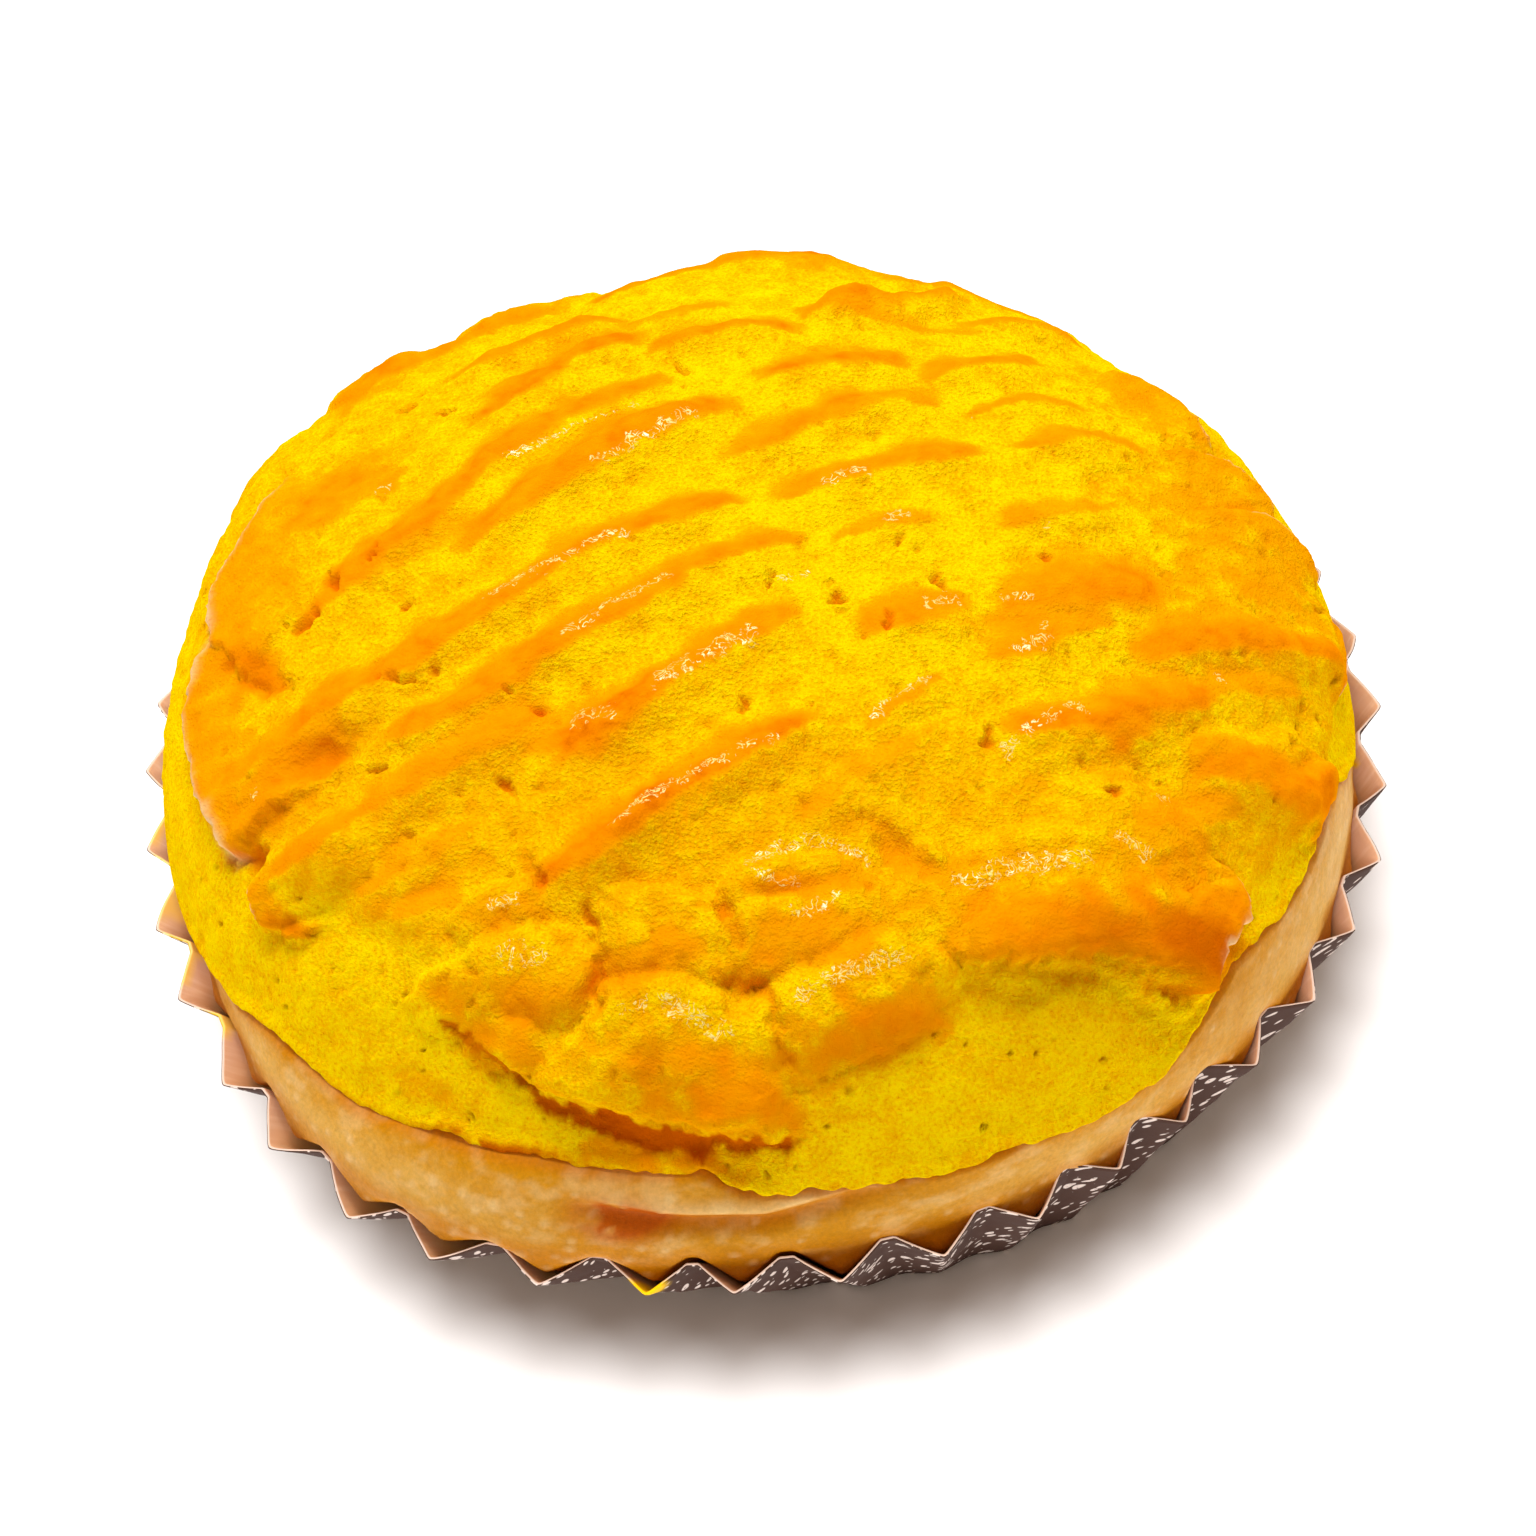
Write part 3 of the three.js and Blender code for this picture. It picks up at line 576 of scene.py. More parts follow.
@dataclass(frozen=True)
class Lip:
    """The broken edge of a slab of crust, which stands over what lies on its right.

    Attributes:
        places: (u, v) places along the edge, with the slab on the left of the way along it.
        height: How far the slab stands over what lies outside, in millimetres.
        run_in: How far the slab reaches inwards before it has sunk into the crust.
        pale: The share of its length along which the thin edge shows pale: from, to.
        glaze: How brown the slab is along its edge, from 0 to 1.
        fade: The share of its length over which it rises at its start, and at its end.
        edge: The width of the pale edge, in millimetres.
    """

    places: tuple[Row, ...]
    height: float
    run_in: float
    pale: tuple[float, float]
    glaze: float
    fade: tuple[float, float] = (0.2, 0.2)
    edge: float = 0.17

    def shape(self, at: Array, uneven: Array) -> tuple[Array, Array, Array, Array]:
        """The slab at each place.

        It rises steeply at its edge, where it rolls over a little, and sinks away inwards.

        Args:
            at: The places.
            uneven: Numbers about 1 that make the pale edge thinner or thicker.

        Returns:
            Its height in millimetres, its brownness, how pale its edge shows, and the shade
            just outside it.
        """
        away, side, share = beside_curve(at, curve_through(self.places, 3))
        d = away * np.sign(side)
        ends = ramp(share, 0.0, self.fade[0]) * ramp(1.0 - share, 0.0, self.fade[1])
        body = ramp(d, -0.15, 0.25) * ramp(d, self.run_in, 0.1 * self.run_in) * ends
        roll = 0.2 * bell(d - 0.8, 0.6) * ends
        brown = self.glaze * ramp(d, 0.0, 0.24) * ramp(d, 0.7 * self.run_in, 0.8) * ends
        start, end = self.pale
        shown = ramp(share, start, start + 0.1) * ramp(share, end, end - 0.1) * (end > start)
        torn = shown * bell(d - 0.12, self.edge * uneven)
        return (self.height + roll) * body, brown, torn, ends * bell(d + 0.45, 0.4)


LIPS: tuple[Lip, ...] = (
    Lip(
        ((-36, 21), (-39.5, 18), (-43, 12.5), (-46, 9), (-46, 4), (-44, 0), (-41, -4.6), (-37, -5)),
        1.0, 12, (0.1, 0.66), 0.6, (0.2, 0.2), 0.44,
    ),
    Lip(
        ((-46, 5), (-48.4, 0.5), (-49.2, -5), (-47.8, -10), (-46, -15), (-44.6, -19.4),
         (-41.5, -18), (-37, -16.6), (-32, -15.4)),
        1.0, 9, (0.0, 0.7), 0.6, (0.1, 0.2), 0.52,
    ),
    Lip(
        ((-41.6, -21.2), (-42.2, -23.4), (-41.8, -25.7), (-40.6, -27.2), (-39.1, -28.4),
         (-37.4, -28.6), (-35.6, -27.6)),
        1.0, 5, (0.1, 0.4), 0.55,
    ),
    Lip(
        ((12.6, -31), (13.4, -35.4), (14.9, -37.4), (18.4, -36.9), (22.7, -36.2), (24.3, -35.3),
         (28.9, -35.8), (31.8, -35.6), (35.2, -37), (35.8, -35.4), (36.6, -33.2), (38.0, -31.4),
         (38.8, -29.6), (38.9, -28.1), (38.2, -26.7), (37.0, -26.0), (35.8, -25.2)),
        2.2, 8, (0.68, 0.96), 0.8, (0.28, 0.12), 0.26,
    ),
    Lip(
        ((41, 16.5), (39.4, 20.5), (36.6, 24.3), (33.3, 25.8), (29, 25.2)), 0.8, 7, (0.1, 0.75), 0.55,
    ),
    Lip(
        ((47, 10.5), (45.4, 14.1), (41.9, 16.6), (37.7, 16.2), (33, 14.6)), 0.8, 7, (0.1, 0.7), 0.55,
    ),
    Lip(((50.6, 4.5), (48.3, 8.8), (44.5, 10.4), (40.8, 9.6), (36, 7.8)), 0.8, 7, (0.1, 0.7), 0.55),
    Lip(((51, -7), (53.2, -3), (54.2, 1.5), (53, 6)), 0.8, 7, (0.15, 0.8), 0.7),
    Lip(((47, -22), (49.4, -19), (49.2, -16), (47, -13.5)), 1.0, 6, (0.2, 0.7), 0.6),
    Lip(
        ((-26, -38.4), (-22.4, -41.8), (-19.4, -44.4), (-17.4, -45.4), (-15.5, -45.8),
         (-14.4, -46.3), (-12.7, -47.3), (-11.2, -48.2), (-9.8, -48.6), (-7.2, -48.6),
         (-5.4, -49.2), (-1.9, -49.3), (0.4, -49.8), (2.2, -48.4), (3.4, -46.4)),
        0.75, 6, (0.0, 0.0), 0.25,
    ),
    Lip(((20, 37), (14.5, 34.6), (10, 32.4), (6, 31.4)), 0.9, 6, (0.0, 0.0), 0.8),
)


# ---- The dome that the crust and the bread share ----


@dataclass(frozen=True)
class Dome:
    """The round form under the crust's relief.

    Its profile is a superellipse above its widest level, and it swells and falls in round
    the bun. A place on it is an angle round its axis and the run along the surface from its
    top.

    Attributes:
        centre: Where its axis stands, in millimetres, as are the next three.
        radius: Its radius at its widest.
        widest_level: The height of its widest level.
        top_level: The height of its top.
        squareness: The superellipse's power: 2 is round, and more is squarer.
        swells: (bearing, spread, how far it swells out) of each swell round it.
    """

    centre: tuple[float, float] = (-0.6, -0.2)
    radius: float = 49.5
    widest_level: float = 22.0
    top_level: float = 46.6
    squareness: float = 2.3
    swells: tuple[Row, ...] = (
        (147, 20, 1.5), (20, 24, 0.8), (115, 24, -1.9), (60, 18, -1.4),
    )

    def profile(self) -> tuple[Array, Array, Array]:
        """The profile from the top outwards.

        The radius is R sin(a)^(2/n) and the height above the widest level is H cos(a)^(2/n).

        Returns:
            The run along the surface, the radius and the level.
        """
        a = np.linspace(0.0, math.pi / 2, 601)
        power = 2.0 / self.squareness
        r = self.radius * np.sin(a) ** power
        rise = self.top_level - self.widest_level
        z = self.widest_level + rise * np.clip(np.cos(a), 0.0, 1.0) ** power
        run = np.concatenate([[0.0], np.cumsum(np.hypot(np.diff(r), np.diff(z)))])
        return run, r, z

    def full_run(self) -> float:
        """The run from the top to the widest level."""
        return float(self.profile()[0][-1])

    def swell(self, angle: Array, run: Array | float) -> Array:
        """How far the dome swells out, growing from nothing at its top."""
        out = np.zeros_like(angle)
        for bearing, spread, height in self.swells:
            out = out + height * bearing_bell(angle, bearing, spread)
        return out * np.clip(run / self.full_run(), 0.0, 1.0) ** 1.5

    def place(self, angle: Array, run: Array, lift: Array | float) -> Array:
        """Points off the dome along its outward normal; past its widest level it is upright.

        Args:
            angle: Angle round the axis, in radians.
            run: Run along the surface from the top.
            lift: Height over the surface.

        Returns:
            The points, with x, y and z on the last axis.
        """
        table_run, table_r, table_z = self.profile()
        full = table_run[-1]
        middle = (table_run[1:] + table_run[:-1]) / 2
        step = np.diff(table_run)
        nr = np.interp(run, middle, -np.diff(table_z) / step)
        nz = np.interp(run, middle, np.diff(table_r) / step)
        upright = ramp(run, full - 1.0, full)
        nr, nz = mix(nr, 1.0, upright), nz * (1.0 - upright)
        r = np.interp(run, table_run, table_r)
        z = np.interp(run, table_run, table_z) - np.clip(run - full, 0.0, None)
        out = lift + self.swell(angle, run)
        radius = np.clip(r + nr * out, 0.0, None)
        x = self.centre[0] + radius * np.cos(angle)
        y = self.centre[1] + radius * np.sin(angle)
        return np.stack([x, y, z + nz * out], axis=-1)


# ---- Meshes ----


def make_piece(name: str, points: Array, faces: Array, node: str) -> bpy.types.Object:
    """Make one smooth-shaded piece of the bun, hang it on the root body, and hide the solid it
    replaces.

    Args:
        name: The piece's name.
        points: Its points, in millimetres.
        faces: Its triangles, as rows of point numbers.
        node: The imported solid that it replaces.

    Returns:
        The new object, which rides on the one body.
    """
    mesh = bpy.data.meshes.new(name)
    mesh.vertices.add(len(points))
    mesh.vertices.foreach_set("co", (points * MM).astype(np.float32).ravel())
    mesh.loops.add(faces.size)
    mesh.loops.foreach_set("vertex_index", faces.astype(np.int32).ravel())
    mesh.polygons.add(len(faces))
    mesh.polygons.foreach_set("loop_start", np.arange(0, faces.size, 3, dtype=np.int32))
    mesh.polygons.foreach_set("use_smooth", np.ones(len(faces), bool))
    mesh.update(calc_edges=True)
    mesh.validate()
    piece = bpy.data.objects.new(name, mesh)
    bpy.context.collection.objects.link(piece)
    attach(piece, "root")
    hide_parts(node)
    return piece


def paint(piece: bpy.types.Object, name: str, values: Array) -> None:
    """Keep one number for each point of a piece, for its finish to read."""
    layer = piece.data.attributes.new(name, "FLOAT", "POINT")
    layer.data.foreach_set("value", values.astype(np.float32).ravel())


def even_disc(rings: int) -> tuple[Array, Array, Array]:
    """A disc of evenly sized triangles: ring k has 6k points, so every edge is about as long.

    Args:
        rings: The number of rings round the middle point.

    Returns:
        Each point's angle and its share of the radius, and the triangles, facing up.
    """
    ring = np.repeat(np.arange(rings + 1), np.maximum(6 * np.arange(rings + 1), 1))
    starts = np.concatenate([[0], 1 + 3 * np.arange(rings) * (np.arange(rings) + 1)])
    within = np.arange(len(ring)) - starts[ring]
    angle = 2.0 * math.pi * within / np.maximum(6 * ring, 1)
    k = np.repeat(np.arange(1, rings + 1), 6 * np.arange(1, rings + 1))
    first = np.repeat(starts[1:] - 1, 6 * np.arange(1, rings + 1))
    step = np.arange(len(k)) - first
    sector, i = step // k, step % k
    inner = sector * (k - 1) + i
    outer = sector * k + i
    wide = np.maximum(6 * (k - 1), 1)
    a = starts[k - 1] + inner % wide
    b = starts[k] + outer
    c = starts[k] + (outer + 1) % (6 * k)
    d = starts[k - 1] + (inner + 1) % wide
    pointing_in = np.stack([a, b, c], axis=1)
    pointing_out = np.stack([a, c, d], axis=1)[i < k - 1]
    return angle, ring / rings, np.vstack([pointing_in, pointing_out])


def as_triangles(faces: Array) -> Array:
    """Each four-sided face as two triangles."""
    return np.vstack([faces[:, [0, 1, 2]], faces[:, [0, 2, 3]]])


def ring_faces(rings: int, columns: int, start: int = 0) -> Array:
    """Triangles between closed rings of points, facing out when the rings go up.

    Args:
        rings: The number of rings.
        columns: The points of each ring.
        start: The first point's number.

    Returns:
        The triangles, as rows of point numbers.
    """
    k, j = np.meshgrid(np.arange(rings - 1), np.arange(columns), indexing="ij")
    nxt = (j + 1) % columns
    a, b = start + k * columns + j, start + k * columns + nxt
    return as_triangles(np.stack([a, b, b + columns, a + columns], axis=-1).reshape(-1, 4))


def fan(centre: int, ring: Array, facing_down: bool) -> Array:
    """Triangles from one point to a closed ring of points that runs anticlockwise."""
    nxt = np.roll(ring, -1)
    sides = (nxt, ring) if facing_down else (ring, nxt)
    return np.stack([np.full(len(ring), centre), *sides], axis=1)


# ---- Materials ----


def linear(hex_colour: int) -> tuple[float, float, float, float]:
    """An sRGB hex colour as the linear colour that a shader takes."""
    channels = []
    for shift in (16, 8, 0):
        c = ((hex_colour >> shift) & 255) / 255.0
        channels.append(c / 12.92 if c <= 0.04045 else ((c + 0.055) / 1.055) ** 2.4)
    return (*channels, 1.0)


def per_metre(size: float) -> float:
    """A pattern's scale, from the size in millimetres of what it repeats."""
    return 1.0 / (size * MM)


class Sum(Enum):
    """What a node works out from its numbers or vectors a, b and c."""

    PLUS = "ADD"  # a + b
    MINUS = "SUBTRACT"  # a - b
    TIMES = "MULTIPLY"  # a b
    TIMES_PLUS = "MULTIPLY_ADD"  # a b + c
    SIZE = "ABSOLUTE"  # |a|
    WITHIN = "COMPARE"  # 1 where a is within c of b
    SCALED = "SCALE"  # the vector a times a number


# The Mix node's sockets for colours: the share, the two colours, and what comes out.
SHARE, BELOW, ABOVE, MIXED = 0, 6, 7, 2

Socket = bpy.types.NodeSocket
Value = float | tuple[float, ...] | Socket


@dataclass
class Recipe:
    """The nodes of a material or of the sky, with one call to add a node.

    Attributes:
        owner: The material or the sky.
    """

    owner: bpy.types.Material | bpy.types.World

    @classmethod
    def named(cls, name: str) -> Recipe:
        """Start a material of that name, with no nodes yet."""
        material = bpy.data.materials.new(name)
        material.use_nodes = True
        material.node_tree.nodes.clear()
        return cls(material)

    def add(
        self,
        kind: str,
        inputs: dict[str | int, Value] | tuple[Value, ...] = (),
        out: str | int = 0,
        **settings: str | bool | Enum,
    ) -> Socket:
        """Add a node, set its settings, and set or link its inputs.

        Args:
            kind: The node's type, without the ShaderNode that each begins with.
            inputs: A value or the socket that feeds it for each input, by name or in order.
            out: The output that is wanted.
            settings: The node's own settings.

        Returns:
            That output.
        """
        tree = self.owner.node_tree
        node = tree.nodes.new("ShaderNode" + kind)
        for key, value in settings.items():
            setattr(node, key, value.value if isinstance(value, Enum) else value)
        named = inputs if isinstance(inputs, dict) else dict(enumerate(inputs))
        for key, value in named.items():
            if isinstance(value, Socket):
                tree.links.new(value, node.inputs[key])
            else:
                node.inputs[key].default_value = value
        return node.outputs[out]

    def finish(self, shader: Socket) -> bpy.types.Material:
        """Link the shader to a new output and return the material."""
        output = self.owner.node_tree.nodes.new("ShaderNodeOutputMaterial")
        self.owner.node_tree.links.new(shader, output.inputs["Surface"])
        return self.owner


@dataclass(frozen=True)
class BiscuitCrust:
    """Baked biscuit dough: a short, dry crumb under brushed-on egg.

    The crumb is matt and porous, an even egg yellow with pores about 0.3 mm wide. Where the
    brushed skin has held together it has baked orange, darkest where it is thick, and fades
    in blotches into the crumb. Some of it has dried to a glossy film, broken into wiry
    wrinkles whose glints are painted pale on them. Thin torn edges of the skin let light
    through and show pale. Shade is painted on as well: browner and darker down in hollows,
    splits and pores, in low crumb, on the lumps' near faces and just outside the slabs' edges.

    Attributes:
        browning: (place from 0 to 1, colour) of each stop from bare crumb to the darkest skin.
        split_and_shade: The colour down in splits and pores, and of the painted shade.
        torn_edge: The colour of thin torn edges.
        painted_glint: The pale colour painted on the film's wrinkles as their glints.
        pore: The size of the pores, in millimetres, as are the rest.
        blotch: The size of the blotches.
        wrinkle: The size of the wrinkles' curls.
        wrinkle_gap: The size of the gaps between them.
        grit_height: How rough the crumb is.
    """

    browning: tuple[tuple[float, int], ...] = (
        (0.0, 0xFADE00), (0.1, 0xF8D400), (0.2, 0xF4C000), (0.32, 0xF0AA00),
        (0.48, 0xEF9C00), (0.7, 0xEE8E00), (0.88, 0xE27C00), (1.0, 0xCC6600),
    )
    split_and_shade: int = 0xC25A00
    torn_edge: int = 0xF6D49C
    painted_glint: int = 0xFBE88A
    pore: float = 0.3
    blotch: float = 2.4
    wrinkle: float = 0.9
    wrinkle_gap: float = 1.1
    grit_height: float = 0.3

    def material(self) -> bpy.types.Material:
        """Build the crust's nodes from what is painted on its points.

        The place on the browning ramp is 0.1 + 0.6 (tone + blotches + grit). The blotches are
        (1.6 n - 0.8)(0.6 tone + 0.4) and the grit is (0.55 - 1.1 n)(1.15 - 0.8 tone), where n
        is each one's noise.
        """
        r = Recipe.named("baked_biscuit_crust")
        place = r.add("TexCoord", out="Object")
        tone, dark, torn, film_and_glints = (
            r.add("Attribute", out="Fac", attribute_name=name)
            for name in ("tone", "dark", "torn", "film_and_glints")
        )
        noise = {"Vector": place, "Scale": per_metre(self.blotch), "Detail": 5.0, "Roughness": 0.62}
        blotch = r.add("TexNoise", noise)
        noise = {"Vector": place, "Scale": per_metre(self.pore), "Detail": 3.0, "Roughness": 0.6}
        pore = r.add("TexNoise", noise)
        blotch = r.add("Math", (blotch, 1.6, -0.8), operation=Sum.TIMES_PLUS)
        blotchy = r.add("Math", (tone, 0.6, 0.4), operation=Sum.TIMES_PLUS)
        blotch = r.add("Math", (blotch, blotchy), operation=Sum.TIMES)
        grit = r.add("Math", (pore, -1.1, 0.55), operation=Sum.TIMES_PLUS)
        gritty = r.add("Math", (tone, -0.8, 1.15), operation=Sum.TIMES_PLUS)
        uneven = r.add("Math", (grit, gritty, blotch), operation=Sum.TIMES_PLUS)
        baked = r.add("Math", (tone, uneven), operation=Sum.PLUS)
        baked = r.add("Math", (baked, 0.6, 0.1), operation=Sum.TIMES_PLUS)
        colour = r.add("ValToRGB", (baked,))
        self.fill(colour.node.color_ramp.elements)
        speck = {"Value": pore, "From Min": 0.36, "From Max": 0.26, "To Max": 0.3}
        # The film's wrinkles are painted pale here as painted glints, over the glossy coat they also
        # get.
        wires = self.wires(r, place, film_and_glints)
        for share, over in (
            (r.add("MapRange", speck), self.split_and_shade),
            (dark, self.split_and_shade),
            (torn, self.torn_edge),
            (wires, self.painted_glint),
        ):
            coat = {SHARE: share, BELOW: colour, ABOVE: linear(over)}
            colour = r.add("Mix", coat, MIXED, data_type="RGBA")

        smooth = r.add("MapRange", {"Value": tone, "From Min": 0.3, "From Max": 0.9})
        smooth = r.add("Math", (smooth, -0.55, 1.0), operation=Sum.TIMES_PLUS)
        grit = r.add("Math", (pore, smooth), operation=Sum.TIMES)
        bump = {"Strength": 1.0, "Distance": self.grit_height * MM, "Height": grit}
        shader = r.add(
            "BsdfPrincipled",
            {
                "Base Color": colour,
                "Roughness": 0.8,
                "Specular IOR Level": 0.0,
                "Coat Weight": wires,
                "Coat Roughness": 0.25,
                "Coat IOR": 1.6,
                "Normal": r.add("Bump", bump),
            },
        )
        return r.finish(shader)

    def fill(self, stops: bpy.types.ColorRampElements) -> None:
        """Set the browning colours on a colour ramp."""
        for stop, (position, colour) in zip(stops, (self.browning[0], self.browning[-1])):
            stop.position, stop.color = position, linear(colour)
        for position, colour in self.browning[1:-1]:
            stops.new(position).color = linear(colour)

    def wires(self, r: Recipe, place: Socket, film_and_glints: Socket) -> Socket:
        """The wrinkles of the dried film: thin curly threads, and beads where they meet, painted pale
        as glints.

        The threads lie where noise crosses its middle value, and are fewer where the film is
        weak.
        """
        curl = {"Vector": place, "Scale": per_metre(self.wrinkle), "Detail": 1.5}
        curl = r.add("TexNoise", {**curl, "Distortion": 1.6})
        off = r.add("Math", (curl, 0.5), operation=Sum.MINUS)
        off = r.add("Math", (off,), operation=Sum.SIZE)
        line = r.add("MapRange", {"Value": off, "From Min": 0.045, "From Max": 0.012})
        kept = {"Vector": place, "Scale": per_metre(self.wrinkle_gap), "Detail": 3.0}
        kept = r.add("TexNoise", {**kept, "Roughness": 0.65})
        kept = r.add("Math", (film_and_glints, 0.5, kept), operation=Sum.TIMES_PLUS)
        kept = r.add("MapRange", {"Value": kept, "From Min": 0.87, "From Max": 0.96})
        return r.add("Math", (line, kept), operation=Sum.TIMES, use_clamp=True)


@dataclass(frozen=True)
class MilkBreadSkin:
    """The thin baked skin of milk bread: golden tan, smooth and faintly glossy.

    It is more orange under the crust and round its front, and browner in a scorched spot;
    under the crust's edge, in its crease and low down in the pleats the orange and the brown
    are painted shade. Steam has raised small pale blisters in it, up to about 1 mm wide.

    Attributes:
        skin: Its colour.
        warm: The colour where it is more orange, also painted as shade under the crust and in the
            pleats.
        pale: The colour of its blisters and of stretched skin.
        burnt_and_shade: The colour of its scorched spot, and of the painted shade in its darkest
            places.
        cloud: The size of its cloudy patches, in millimetres, as are the rest.
        freckle: The size of its freckles.
        freckle_height: How far they stand out.
    """

    skin: int = 0xDEAF50
    warm: int = 0xD09000
    pale: int = 0xE8C47E
    burnt_and_shade: int = 0xBC5A00
    cloud: float = 3.0
    freckle: float = 0.4
    freckle_height: float = 0.1

    def material(self) -> bpy.types.Material:
        """Build the bread's nodes from what is painted on its points."""
        r = Recipe.named("baked_milk_bread_skin")
        place = r.add("TexCoord", out="Object")
        warm, pale, burnt_and_shade = (
            r.add("Attribute", out="Fac", attribute_name=name) for name in ("warm", "pale", "burnt_and_shade")
        )
        noise = {"Vector": place, "Scale": per_metre(self.cloud), "Detail": 8.0, "Roughness": 0.78}
        cloud = r.add("TexNoise", noise)
        fine = {"Vector": place, "Scale": per_metre(self.freckle), "Detail": 3.0}
        fine = r.add("TexNoise", {**fine, "Roughness": 0.65})
        warm = r.add("Math", (warm, -1.1), operation=Sum.PLUS)
        warm = r.add("Math", (cloud, 2.2, warm), operation=Sum.TIMES_PLUS, use_clamp=True)
        colour = linear(self.skin)
        for share, over in ((warm, self.warm), (pale, self.pale), (burnt_and_shade, self.burnt_and_shade)):
            coat = {SHARE: share, BELOW: colour, ABOVE: linear(over)}
            colour = r.add("Mix", coat, MIXED, data_type="RGBA")
        freckle = {"Value": fine, "From Min": 0.3, "From Max": 0.7, "To Min": 0.88, "To Max": 1.1}
        tint = r.add("CombineColor", (r.add("MapRange", freckle),) * 3)
        coat = {SHARE: 1.0, BELOW: colour, ABOVE: tint}
        colour = r.add("Mix", coat, MIXED, data_type="RGBA", blend_type="MULTIPLY")
        bump = {"Strength": 0.8, "Distance": self.freckle_height * MM, "Height": fine}
        shader = r.add(
            "BsdfPrincipled",
            {
                "Base Color": colour,
                "Roughness": 0.5,
                "Specular IOR Level": 0.1,
                "Normal": r.add("Bump", bump),
            },
        )
        return r.finish(shader)


